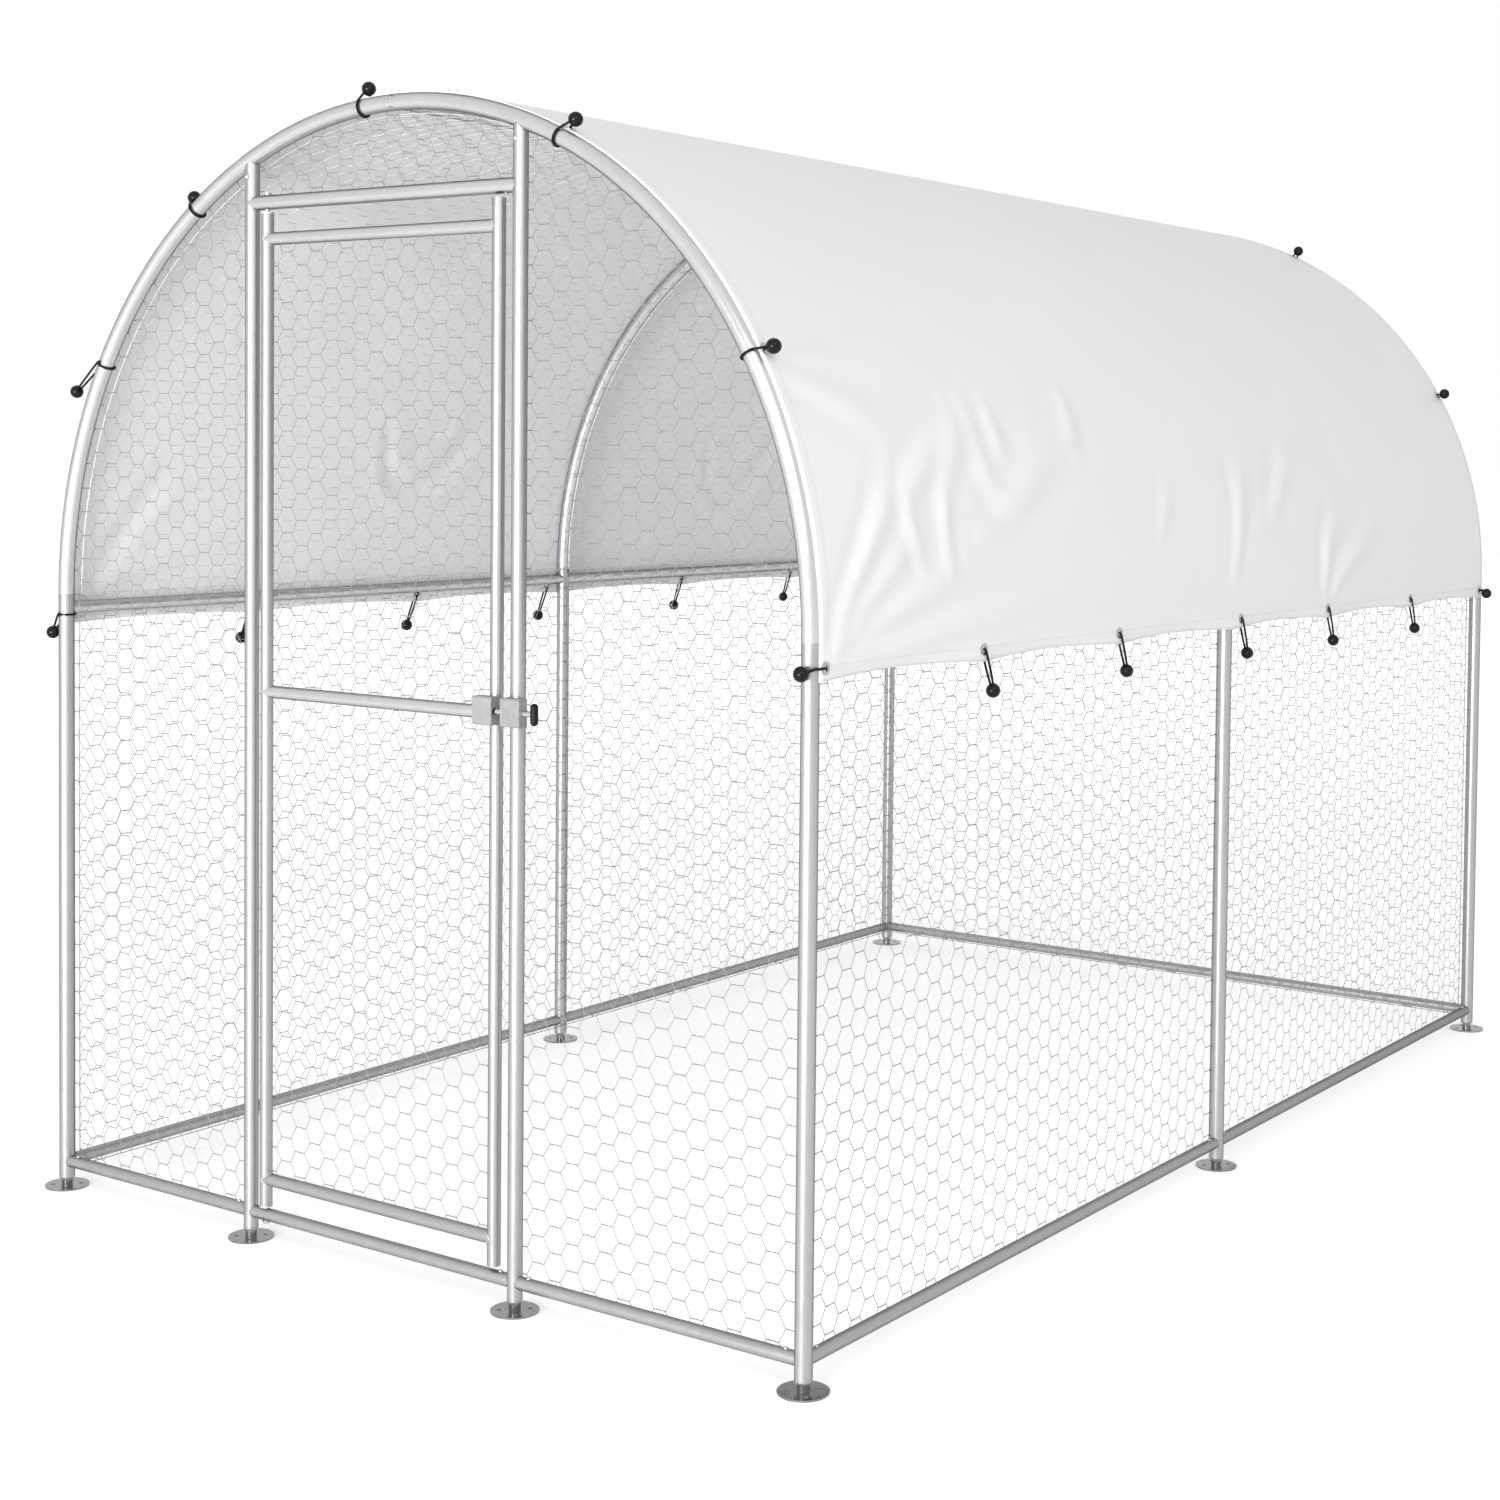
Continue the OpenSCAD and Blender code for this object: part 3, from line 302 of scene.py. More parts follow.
# A flat middle for the recess, the dome as radius and share of the head's height, the seat and the shank
dome = [(r, head_t) for r in (0, 0.0005, 0.0009, 0.0013, 0.0017)]
dome += [(r, head_t * share) for r, share in (
    (recess_r, 0.97), (0.0028, 0.9), (0.0034, 0.72), (0.0038, 0.42), (head_r, 0.12), (head_r, 0))]
dome += [(shank_r, 0), (shank_r, -shank_l), (0, -shank_l)]
head, head_faces = turned(dome[::-1], around=40)
span = np.hypot(head[:, 0], head[:, 1])
arm = np.minimum(np.abs(head[:, 0]), np.abs(head[:, 1]))
head[(head[:, 2] > 0.9 * head_t) & (span < recess_r) & (arm < recess_w), 2] -= recess_deep
points, faces = [], []
for solid in loose_solids("rail_screws"):
    size = solid.max(0) - solid.min(0)
    way = int(np.argmax(size))
    middle = (solid.max(0) + solid.min(0)) / 2
    across = [k for k in range(3) if k != way]
    wide = np.linalg.norm(solid[:, across] - middle[across], axis=1) > 0.75 * head_r
    sign = 1 if solid[wide][:, way].mean() > middle[way] else -1
    axis = np.zeros(3)
    axis[way] = sign
    side_a = np.roll(np.abs(axis), 1)
    side_b = np.cross(axis, side_a)
    seat = middle.copy()
    seat[way] += sign * (size[way] / 2 - head_t)
    faces += [tuple(len(points) + k for k in f) for f in head_faces]
    points += list(seat + head[:, :1] * side_a + head[:, 1:2] * side_b + head[:, 2:] * axis)
screw_zinc = zinc_finish("screw_zinc", screw_tone, crystals=400.0, contrast=0.3, dullness=0.28, metal=0.8,
                         pitting=0.1)
screws = piece("pan_head_screws", points, faces, screw_zinc)
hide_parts("rail_screws")

# Wall, end and door netting
# Galvanised hexagonal netting woven by machine: neighbouring wires are twisted together at each flat of a
# cell. It is stretched inside the tubes with a thicker edge wire laced to them.
net_tone = (0.31, 0.315, 0.32, 1)
cell_w, cell_h = 0.036, 0.044
twist_half, twist_turns, twist_steps = 0.0115, 1.5, 5
wire_r, wire_sides, edge_wire_r, edge_wire_sides = 0.0006, 3, 0.0010, 6
weave_slack, shortest_wire, cut_steps = 0.0009, 0.0008, 14
front_y, wall_x, spring_z = -1.4, 0.85, 1.115
net_low_z, net_half_w, arch_gap, arch_steps = 0.037, 0.847, 0.003, 60
arch_r = wall_x - arch_gap
hinge_x, latch_x, lintel_z = -0.345, 0.277, 1.815
end_net_in, leaf_net_in = 0.0151, 0.0121
end_net_y, leaf_net_y = front_y + end_net_in, front_y + leaf_net_in
side_net_x, side_net_end, side_net_meet = 0.8349, 1.383, 0.002
leaf_net_left, leaf_net_right, leaf_net_low, leaf_net_high = -0.306, 0.230, 0.101, 1.762
wire_look = {"crystals": 300.0, "contrast": 0.4, "dullness": 0.42, "metal": 0.45, "pitting": 0.05}
net_wire = zinc_finish("net_wire", net_tone, **wire_look)


def sweep(paths, radius, sides, face):
    """Tubes along paths of shape (tubes, points, 3). face is a direction that no path runs along."""
    along = np.gradient(paths, axis=1)
    along /= np.linalg.norm(along, axis=2, keepdims=True)
    u = np.cross(along, face)
    u /= np.linalg.norm(u, axis=2, keepdims=True)
    v = np.cross(u, along)
    turn = np.arange(sides) * 2 * math.pi / sides
    around = np.cos(turn)[:, None] * u[:, :, None] + np.sin(turn)[:, None] * v[:, :, None]
    ring = paths[:, :, None] + radius * around
    count = np.arange(ring.shape[0] * ring.shape[1] * sides).reshape(ring.shape[:3])
    a, b = count[:, :-1], count[:, 1:]
    quads = np.stack([a, np.roll(a, -1, 2), np.roll(b, -1, 2), b], -1).reshape(-1, 4)
    return ring.reshape(-1, 3), quads


def trim(starts, ends, inside):
    """Cuts straight wires at their net's edge, and drops those outside it and stubs too short to hold."""
    a_in, b_in = inside(starts), inside(ends)
    keep = a_in | b_in
    starts, ends, a_in, b_in = starts[keep].copy(), ends[keep].copy(), a_in[keep], b_in[keep]
    for held, loose, cut in ((starts, ends, a_in & ~b_in), (ends, starts, b_in & ~a_in)):
        near, far = held[cut].copy(), loose[cut].copy()
        for _ in range(cut_steps):
            half = (near + far) / 2
            ok = inside(half)[:, None]
            near, far = np.where(ok, half, near), np.where(ok, far, half)
        loose[cut] = near
    held = np.linalg.norm(ends - starts, axis=1) > shortest_wire
    return starts[held], ends[held]


def lay_flat(run):
    """Gives points in a net's plane a third measure, out of the plane, of 0."""
    return np.concatenate([run, np.zeros(run.shape[:2] + (1,))], 2)


def weave(u0, u1, v0, v1, inside, seed):
    """Wires of a net in its own plane: straight diagonals, and each twist's two strands, as (u, v, out)."""
    cols, rows = int((u1 - u0) / cell_w) + 3, int((v1 - v0) / cell_h) + 3
    i, j = np.meshgrid(np.arange(cols), np.arange(rows), indexing="ij")
    knots = np.stack([u0 + (i - 1) * cell_w, v0 + (j - 1 + (i % 2) / 2) * cell_h], -1)
    knots = knots + np.random.default_rng(seed).normal(0, weave_slack, knots.shape)
    tip = np.array([twist_half, 0])
    legs = []
    for k in range(cols - 1):
        legs.append((knots[k] + tip, knots[k + 1] - tip))
        low, high = (slice(0, -1), slice(1, None)) if k % 2 else (slice(1, None), slice(0, -1))
        legs.append((knots[k, low] + tip, knots[k + 1, high] - tip))
    starts, ends = trim(np.concatenate([a for a, b in legs]), np.concatenate([b for a, b in legs]), inside)
    straight = lay_flat(np.stack([starts, ends], 1))
    flat = knots.reshape(-1, 2)
    starts, ends = trim(flat - tip, flat + tip, inside)
    t = np.linspace(0, 1, twist_steps)
    line = starts[:, None] + (ends - starts)[:, None] * t[None, :, None]
    strands = []
    for half in (0, math.pi):
        spin = half + 2 * math.pi * twist_turns * t
        strand = lay_flat(line)
        strand[:, :, 1] += wire_r * np.cos(spin)
        strand[:, :, 2] += wire_r * np.sin(spin)
        strands.append(strand)
    return straight, np.concatenate(strands)


def net_piece(name, wires, node, body, lie, face, border, finish=net_wire):
    """One net, its woven wires and edge wire laid in place by lie, as a piece that stands for a CAD net."""
    parts = [sweep(lie(run), wire_r, wire_sides, face(run)) for run in wires]
    rim = lay_flat(border[None])
    parts.append(sweep(lie(rim), edge_wire_r, edge_wire_sides, face(rim)))
    points = np.concatenate([p for p, q in parts])
    steps = np.cumsum([0] + [len(p) for p, q in parts[:-1]])
    quads = np.concatenate([q + s for (p, q), s in zip(parts, steps)])
    mesh = bpy.data.meshes.new(name)
    mesh.vertices.add(len(points))
    mesh.vertices.foreach_set("co", points.ravel())
    mesh.loops.add(quads.size)
    mesh.loops.foreach_set("vertex_index", quads.ravel())
    mesh.polygons.add(len(quads))
    mesh.polygons.foreach_set("loop_start", np.arange(len(quads)) * 4)
    mesh.update(calc_edges=True)
    mesh.materials.append(finish)
    mesh.shade_smooth()
    net = put_in(name, mesh)
    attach(net, body)
    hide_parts(node)


def edge_run(corners, step=0.02):
    """Points every step or so along a closed outline."""
    run = []
    for a, b in zip(corners, corners[1:] + corners[:1]):
        n = max(2, int(math.dist(a, b) / step))
        run += [(a[0] + (b[0] - a[0]) * k / n, a[1] + (b[1] - a[1]) * k / n) for k in range(n)]
    return np.array(run + [run[0]])


def end_outline(x0, x1, z0):
    """Corners of an end net between x0 and x1: straight below, the hoop's arc above."""
    x0, x1 = max(x0, -arch_r), min(x1, arch_r)
    low, high = math.acos(x1 / arch_r), math.acos(x0 / arch_r)
    turn = np.linspace(low, high, arch_steps)
    return [(x0, z0), (x1, z0)] + [(arch_r * math.cos(a), spring_z + arch_r * math.sin(a)) for a in turn]


def end_net(name, y, out, x0, x1, z0, node, seed):
    """A flat net across the run, cut to the hoop's arc."""
    def inside(p):
        arch = (p[:, 1] < spring_z) | (p[:, 0] ** 2 + (p[:, 1] - spring_z) ** 2 < arch_r ** 2)
        return (p[:, 0] > x0) & (p[:, 0] < x1) & (p[:, 1] > z0) & arch
    net_piece(name, weave(x0, x1, z0, spring_z + wall_x, inside, seed), node, "frame",
              lambda w: np.stack([w[..., 0], y - out * w[..., 2], w[..., 1]], -1),
              lambda w: np.array([0.0, 1.0, 0.0]), edge_run(end_outline(x0, x1, z0)))


def straight_net(name, along_y, place_at, u0, u1, v0, v1, node, seed, body="frame"):
    """A flat rectangular net, along the run or across it."""
    def inside(p):
        return (p[:, 0] > u0) & (p[:, 0] < u1) & (p[:, 1] > v0) & (p[:, 1] < v1)

    def lie(w):
        out = place_at + w[..., 2]
        return np.stack([out, w[..., 0], w[..., 1]] if along_y else [w[..., 0], out, w[..., 1]], -1)
    across = np.array([1.0, 0, 0]) if along_y else np.array([0, 1.0, 0])
    net_piece(name, weave(u0, u1, v0, v1, inside, seed), node, body, lie, lambda w: across,
              edge_run([(u0, v0), (u1, v0), (u1, v1), (u0, v1)]))


end_net("front_left_netting", end_net_y, 1, -net_half_w, hinge_x, net_low_z, "front_left_net", seed=11)
end_net("front_right_netting", end_net_y, 1, latch_x, net_half_w, net_low_z, "front_right_net", seed=12)
end_net("transom_netting", end_net_y, 1, hinge_x, latch_x, lintel_z, "transom_net", seed=13)
end_net("back_netting", -end_net_y, -1, -net_half_w, net_half_w, net_low_z, "back_net", seed=14)
for k, (hand, x) in enumerate((("left", -side_net_x), ("right", side_net_x))):
    straight_net(f"{hand}_front_netting", True, x, -side_net_end, -side_net_meet, net_low_z, spring_z,
                 f"{hand}_front_net", seed=21 + k)
    straight_net(f"{hand}_back_netting", True, x, side_net_meet, side_net_end, net_low_z, spring_z,
                 f"{hand}_back_net", seed=31 + k)
straight_net("door_netting", False, leaf_net_y, leaf_net_left, leaf_net_right, leaf_net_low, leaf_net_high,
             "door_net", seed=41, body="door")

# Roof netting
# The same netting in two lengths, bent under the hoops and laced to them, which meet at the middle hoop. Its
# wires are painted much lighter than the walls', painted light against the sheet's shade.
roof_net_painted_light_tone = (0.70, 0.70, 0.70, 1)
roof_r, roof_net_end, roof_net_meet = 0.8325, 1.379, 0.001
roof_arc = roof_r * math.pi
roof_wire_painted_light = zinc_finish("roof_wire_painted_light", roof_net_painted_light_tone, **wire_look)


def over_roof(w):
    bend = w[..., 1] / roof_r
    r = roof_r + w[..., 2]
    return np.stack([r * np.cos(bend), w[..., 0], spring_z + r * np.sin(bend)], -1)


def roof_out(w):
    bend = w[..., 1] / roof_r
    return np.stack([np.cos(bend), np.zeros_like(bend), np.sin(bend)], -1)


roof_lengths = (("front", -roof_net_end, -roof_net_meet), ("back", roof_net_meet, roof_net_end))
for k, (end, y0, y1) in enumerate(roof_lengths):
    def inside(p, y0=y0, y1=y1):
        return (p[:, 0] > y0) & (p[:, 0] < y1) & (p[:, 1] > 0) & (p[:, 1] < roof_arc)
    border = edge_run([(y0, 0.0), (y1, 0.0), (y1, roof_arc), (y0, roof_arc)])
    net_piece(f"roof_{end}_netting", weave(y0, y1, 0, roof_arc, inside, seed=51 + k), "roof_net", "frame",
              over_roof, roof_out, border, roof_wire_painted_light)

# Roof sheet
# A white coated fabric cut about 2.83 by 2.80 m, hemmed all round. It is pulled over the hoops and held by
# bungees through eyelets in the hem, so it is tight over the hoops and creased where a bungee pulls.
sheet_tone, sheet_shade = (0.86, 0.865, 0.875, 1), (0.80, 0.805, 0.82, 1)
thread_tone = (0.74, 0.745, 0.76, 1)
sheet_r, hem_z, hem_curve, sheet_t = 0.86515, 1.057, 0.008, 0.0008
half_l, drop = 1.4, spring_z - hem_z
flat_w = sheet_r * math.pi + 2 * drop
eyelet_up, end_eyelet_in, eyelet_hole = 0.020, 0.016, 0.0045
eave_bays, beside_middle = 6, 0.040
eave_step = 2 * half_l / eave_bays
hoop_angles = (30, 65, 95, 125, 150)


def eave_places(sign):
    """Places along a side of the five eyelets between the corners. The middle one clears the middle post."""
    return -2 * eave_step, -eave_step, sign * beside_middle, eave_step, 2 * eave_step


eyelet_marks = [(y, eyelet_up) for y in eave_places(1)] + [(y, flat_w - eyelet_up) for y in eave_places(-1)]
for y in (-half_l + end_eyelet_in, half_l - end_eyelet_in):
    eyelet_marks += [(y, eyelet_up), (y, flat_w - eyelet_up)]
    eyelet_marks += [(y, drop + sheet_r * math.radians(a)) for a in hoop_angles]

# Creases on the right-hand side: places as (along the run, up from the hem), then half width and height
right_creases = [
    ([(-1.37, 0.03), (-1.26, 0.12), (-1.14, 0.19)], 0.020, 0.0052),
    ([(-1.37, 0.03), (-1.17, 0.10), (-0.99, 0.15)], 0.022, 0.0048),
    ([(-1.37, 0.04), (-1.31, 0.13), (-1.14, 0.32)], 0.020, 0.0056),
    ([(-1.36, 0.02), (-1.09, 0.055), (-0.72, 0.085)], 0.020, 0.0056),
    ([(-1.11, 0.16), (-1.13, 0.27), (-1.02, 0.34), (-0.91, 0.40)], 0.025, 0.0052),
    ([(-1.03, 0.15), (-1.02, 0.27), (-0.90, 0.40)], 0.022, 0.0048),
    ([(-0.88, 0.43), (-0.87, 0.31), (-0.81, 0.27), (-0.72, 0.33), (-0.63, 0.45)], 0.032, 0.0032),
    ([(-0.81, 0.43), (-0.81, 0.37), (-0.79, 0.32)], 0.024, 0.0030),
    ([(-0.93, 0.21), (-0.78, 0.26), (-0.65, 0.33), (-0.53, 0.45)], 0.030, 0.0034),
    ([(-0.53, 0.47), (-0.54, 0.40), (-0.57, 0.33)], 0.026, 0.0032),
    ([(-0.29, 0.19), (-0.22, 0.29)], 0.020, 0.0024),
    ([(0.01, 0.10), (0.07, 0.25), (0.11, 0.33)], 0.025, 0.0046),
    ([(0.21, 0.22), (0.31, 0.31), (0.38, 0.36)], 0.026, 0.0040),
    ([(0.45, 0.04), (0.47, 0.15), (0.54, 0.21)], 0.021, 0.0052),
    ([(0.47, 0.04), (0.59, 0.12), (0.74, 0.18)], 0.024, 0.0062),
    ([(-1.37, 0.47), (-1.27, 0.44), (-1.14, 0.40)], 0.025, 0.0032),
]
left_creases = [
    ([(1.37, 0.03), (1.27, 0.13), (1.12, 0.22)], 0.021, 0.0048),
    ([(1.37, 0.03), (1.16, 0.08), (0.93, 0.12)], 0.021, 0.0044),
    ([(-1.37, 0.03), (-1.28, 0.15), (-1.17, 0.30)], 0.021, 0.0048),
    ([(-1.37, 0.03), (-1.18, 0.08), (-0.98, 0.11)], 0.020, 0.0040),
    ([(-0.62, 0.40), (-0.58, 0.28), (-0.50, 0.25), (-0.40, 0.31), (-0.34, 0.42)], 0.024, 0.0040),
    ([(0.50, 0.38), (0.55, 0.25), (0.64, 0.22), (0.74, 0.30), (0.78, 0.41)], 0.024, 0.0040),
    ([(0.05, 0.12), (0.10, 0.24), (0.20, 0.33)], 0.022, 0.0032),
]
crease_start, crease_narrow, crease_widens, crease_round = 0.06, 0.65, 0.7, 0.6
valley_deep, valley_off, valley_w = 0.55, 1.7, 0.9


def neighbours(line, k):
    """The ends of a line's leg k, with the point before and the point after it."""
    return line[max(k - 1, 0)], line[k], line[k + 1], line[min(k + 2, len(line) - 1)]


def between(a, b, c, d, t):
    """The place at t, 0 to 1, from b to c on a smooth curve that comes from a and goes on to d."""
    return 0.5 * (2 * b + (c - a) * t + (2 * a - 5 * b + 4 * c - d) * t**2 + (3 * b - a - 3 * c + d) * t**3)


def off_line(y, s, line):
    """Distance of each point of the sheet from a crease, and how far along the crease it lies, 0 to 1."""
    best, along = np.full(y.shape, np.inf), np.zeros(y.shape)
    legs = list(zip(line[:-1], line[1:]))
    runs = [math.dist(a, b) for a, b in legs]
    gone = 0.0
    for (a, b), run in zip(legs, runs):
        t = np.clip(((y - a[0]) * (b[0] - a[0]) + (s - a[1]) * (b[1] - a[1])) / run**2, 0, 1)
        d = np.hypot(y - a[0] - t * (b[0] - a[0]), s - a[1] - t * (b[1] - a[1]))
        nearer = d < best
        best = np.where(nearer, d, best)
        along = np.where(nearer, (gone + t * run) / sum(runs), along)
        gone += run
    return best, along


def crease_height(y, s, creases):
    """Raised creases, each with a shallow valley on both sides, fading out at its far end."""
    lift = np.zeros(y.shape)
    for line, width, height in creases:
        smooth = [line[0]]
        for k in range(len(line) - 1):
            for t in (0.25, 0.5, 0.75, 1.0):
                smooth.append(tuple(between(*ends, t) for ends in zip(*neighbours(line, k))))
        far, along = off_line(y, s, smooth)
        x = far / (width * (crease_narrow + crease_widens * along))
        fade = np.sin(math.pi * np.clip(crease_start + (1 - crease_start) * along, 0, 1)) ** crease_round
        valley = valley_deep * np.exp(-((x - valley_off) / valley_w) ** 2)
        lift += height * fade * (np.exp(-x**2) - valley)
    return lift


def lines_between(low, high, step, holes, skip=0.003):
    """Grid lines from low to high, with a pair beside each eyelet hole."""
    kept = sorted({round(h + d, 6) for h in holes for d in (-eyelet_hole, eyelet_hole)})
    run = [v for v in np.linspace(low, high, int((high - low) / step) + 1)
           if all(abs(v - k) > skip for k in kept) and all(abs(v - h) > eyelet_hole for h in holes)]
    return np.array(sorted(set(np.round(run, 6)) | set(kept)))


# The sheet's grid, which is finer low on each side, where the creases are
y_step, right_step, top_step, left_step = 0.0125, 0.010, 0.020, 0.012
right_top, left_top, next_line = 0.75, flat_w - 0.62, 0.015
hole_y, hole_s = zip(*eyelet_marks)
right_holes, left_holes = [s for s in hole_s if s < right_top], [s for s in hole_s if s > left_top]
top_holes = [s for s in hole_s if right_top < s < left_top]
y_lines = lines_between(-half_l, half_l, y_step, hole_y)
s_lines = np.concatenate([
    lines_between(0, right_top, right_step, right_holes),
    lines_between(right_top + next_line, left_top, top_step, top_holes),
    lines_between(left_top + next_line, flat_w, left_step, left_holes)])
S, Y = np.meshgrid(s_lines, y_lines, indexing="ij")

# The hem, scalloped between the bungees and rolled in a little
turned_up, hem_roll, roll_up = 0.009, 0.009, 0.055
bay = np.mod(Y + half_l, eave_step) / eave_step
scallop = hem_curve * 4 * bay * (1 - bay)
edge_s = np.minimum(S, flat_w - S)
hem_s = np.where(edge_s < turned_up, scallop + edge_s * (turned_up - scallop) / turned_up, edge_s)
flat_s = np.where(S < flat_w / 2, hem_s, flat_w - hem_s)
angle = np.clip((flat_s - drop) / sheet_r, 0, math.pi)
down = np.maximum(drop - hem_s, 0)

# How far the sheet stands off its tight shape: creases, slack between the hoops, and the hem's roll
slack_edge, sag = 0.10, 0.003
slow_ripple, slow_y, slow_s = 0.0012, 9, 4
cross_ripple, cross_y, cross_s, cross_start = 0.0010, 5, -7, 1.3
hoop_reach, hem_flat, hem_ease, hem_least = 0.035, 0.03, 0.05, 0.15
eyelet_flat, eyelet_ease = 0.011, 0.035
lift = np.where(S < flat_w / 2, crease_height(Y, S, right_creases),
                crease_height(Y, flat_w - S, left_creases))
span_y = np.sin(math.pi * np.clip(np.abs(Y) / half_l, 0, 1)) ** 2
ride_up = np.sin(np.clip((edge_s - slack_edge) / (flat_w / 2 - slack_edge), 0, 1) * math.pi) ** 2
ripple = slow_ripple * np.sin(slow_y * Y + slow_s * S)
ripple += cross_ripple * np.sin(cross_y * Y + cross_s * S + cross_start)
lift += span_y * ride_up * (ripple - sag)
hoop_hold = np.clip(np.minimum(np.abs(Y), half_l - np.abs(Y)) / hoop_reach, 0, 1)
hem_hold = np.clip((edge_s - hem_flat) / hem_ease, hem_least, 1)
lift = np.where(lift < 0, lift * hoop_hold * hem_hold, lift)
lift -= hem_roll * hoop_hold * np.sin(math.pi * bay) ** 2 * np.clip(1 - edge_s / roll_up, 0, 1) ** 2
for y, s in eyelet_marks:
    lift *= np.clip((np.hypot(Y - y, S - s) - eyelet_flat) / eyelet_ease, 0, 1)
r = sheet_r + lift
grid = np.stack([r * np.cos(angle), Y, spring_z + r * np.sin(angle) - down], -1)
rows, cols = S.shape
count = np.arange(rows * cols).reshape(rows, cols)
faces = []
for i in range(rows - 1):
    for j in range(cols - 1):
        mid_s, mid_y = (s_lines[i] + s_lines[i + 1]) / 2, (y_lines[j] + y_lines[j + 1]) / 2
        if min(max(abs(mid_y - y), abs(mid_s - s)) for y, s in eyelet_marks) < eyelet_hole:
            continue
        faces.append((count[i, j], count[i, j + 1], count[i + 1, j + 1], count[i + 1, j]))

# The fabric: coated threads both ways, slight soiling, and a hem folded over and sewn near its edge
thread_scale, thread_waver, slub_scale, soil_scale = 125.0, 0.3, 160.0, 2.2
hem_in, hem_out, seam_in, seam_half, seam_edge = 0.026, 0.030, 0.024, 0.0006, 0.0016
stitch_scale, stitch_gap, thread_show = 45.0, 0.3, 0.12
thread_high, hem_high, stitch_high, fabric_deep, fabric_relief = 0.25, 1.6, -0.8, 0.0005, 0.5
fabric_dull, slub_dull, fabric_shine = 0.42, 0.16, 0.35


def ease(tree, value, low, high, first, last):
    """Goes smoothly from first to last while a value goes from low to high."""
    return wire_up(tree, "MapRange", {"interpolation_type": "SMOOTHSTEP"}, Value=value, n1=low, n2=high,
                   n3=first, n4=last).outputs[0]


sheet_fabric, tree, skin = blank_finish("sheet_fabric")
flat_place = wire_up(tree, "UVMap", {"uv_map": "cut"}).outputs[0]
warp, weft = (wire_up(tree, "TexWave", {"bands_direction": way}, Vector=flat_place, Scale=thread_scale,
                      Distortion=thread_waver).outputs["Fac"] for way in ("X", "Y"))
threads = reckon(tree, "MAXIMUM", warp, weft)
soiling = wire_up(tree, "TexNoise", Vector=flat_place, Scale=soil_scale, Detail=5.0,
                  Roughness=0.6).outputs[0]
slubs = speckle(tree, flat_place, slub_scale, 2.0)
edge = wire_up(tree, "Attribute", {"attribute_name": "from_edge"}).outputs["Fac"]
hem_step = ease(tree, edge, hem_in, hem_out, 1.0, 0.0)
off_seam = reckon(tree, "ABSOLUTE", reckon(tree, "SUBTRACT", edge, seam_in))
seam = ease(tree, off_seam, seam_half, seam_edge, 1.0, 0.0)
stitches = wire_up(tree, "TexWave", {"bands_direction": "DIAGONAL"}, Vector=flat_place,
                   Scale=stitch_scale).outputs["Fac"]
stitch = reckon(tree, "MULTIPLY", seam, reckon(tree, "GREATER_THAN", stitches, stitch_gap))
colour = mix_tones(tree, soiling, sheet_tone, sheet_shade)
colour = mix_tones(tree, reckon(tree, "MULTIPLY", threads, thread_show), colour, sheet_tone)
colour = mix_tones(tree, stitch, colour, thread_tone)
coat(tree, skin, colour, add_share(tree, fabric_dull, slubs, slub_dull))
relief = add_share(tree, reckon(tree, "MULTIPLY", threads, thread_high), hem_step, hem_high)
emboss(tree, skin, add_share(tree, relief, stitch, stitch_high), fabric_deep, fabric_relief)
skin.inputs["Specular IOR Level"].default_value = fabric_shine
sheet = piece("roof_sheet", grid.reshape(-1, 3), faces, sheet_fabric)
cut = sheet.data.uv_layers.new(name="cut")
corner = np.zeros(len(sheet.data.loops), np.int32)
sheet.data.loops.foreach_get("vertex_index", corner)
cut.data.foreach_set("uv", np.stack([Y.ravel()[corner], S.ravel()[corner]], -1).ravel())
from_edge = sheet.data.attributes.new("from_edge", "FLOAT", "POINT")
from_edge.data.foreach_set("value", np.minimum(edge_s, half_l - np.abs(Y)).ravel())
thickness = sheet.modifiers.new("thickness", "SOLIDIFY")
thickness.thickness = sheet_t
thickness.offset = 0
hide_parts("cover")

# Eyelets
# Two-part pressed rings of steel with bright zinc. A punch rolls the two parts together through the hem, and
# the bungees' cords pass through the hole.
eyelet_tone = (0.44, 0.44, 0.43, 1)
eyelet_zinc = zinc_finish("eyelet_zinc", eyelet_tone, crystals=500.0, contrast=0.25, dullness=0.26,
                          metal=0.85, pitting=0.06)
dress(eyelet_zinc, "eyelets")

# Ball bungees
# Loops of 4 mm black elastic cord, both ends knotted inside a moulded plastic ball. On the hoops and corner
# posts a loop goes through the eyelet and round the tube, and along the eaves it hangs free from its eyelet.
cord_tone, cord_fleck = (0.006, 0.006, 0.0065, 1), (0.024, 0.024, 0.025, 1)
ball_tone, ball_worn = (0.005, 0.005, 0.0055, 1), (0.014, 0.014, 0.0145, 1)
broad_scale, grain_dulls, grain_deep = 45.0, 0.15, 0.0002
cord_d, ball_r, strand_half = 0.004, 0.012, 0.0024
wrap_r, wrap_steps, least_wrap, into_ball = 0.0163, 11, math.radians(85), 0.004
sheet_up = sheet_r - wall_x
eyelet_rim, beside_eyelet, cord_proud = sheet_up + 0.0048, end_eyelet_in + 0.00133, sheet_up + 0.00425

# Fine mottling of black goods: a grain for colour and bump
black_grain, grain_in, grain_out = effect_group(
    "black_grain",
    [("Dark", "NodeSocketColor", cord_tone), ("Light", "NodeSocketColor", cord_fleck),
     ("Grain", "NodeSocketFloat", 900.0)],
    [("Colour", "NodeSocketColor"), ("Height", "NodeSocketFloat")])
place = on_piece(black_grain)
fine = speckle(black_grain, place, grain_in.outputs["Grain"], 3.0)
flecks = reckon(black_grain, "MULTIPLY", fine, speckle(black_grain, place, broad_scale, 3.0))
black_grain.links.new(mix_tones(black_grain, flecks, grain_in.outputs["Dark"], grain_in.outputs["Light"]),
                      grain_out.inputs["Colour"])
black_grain.links.new(fine, grain_out.inputs["Height"])


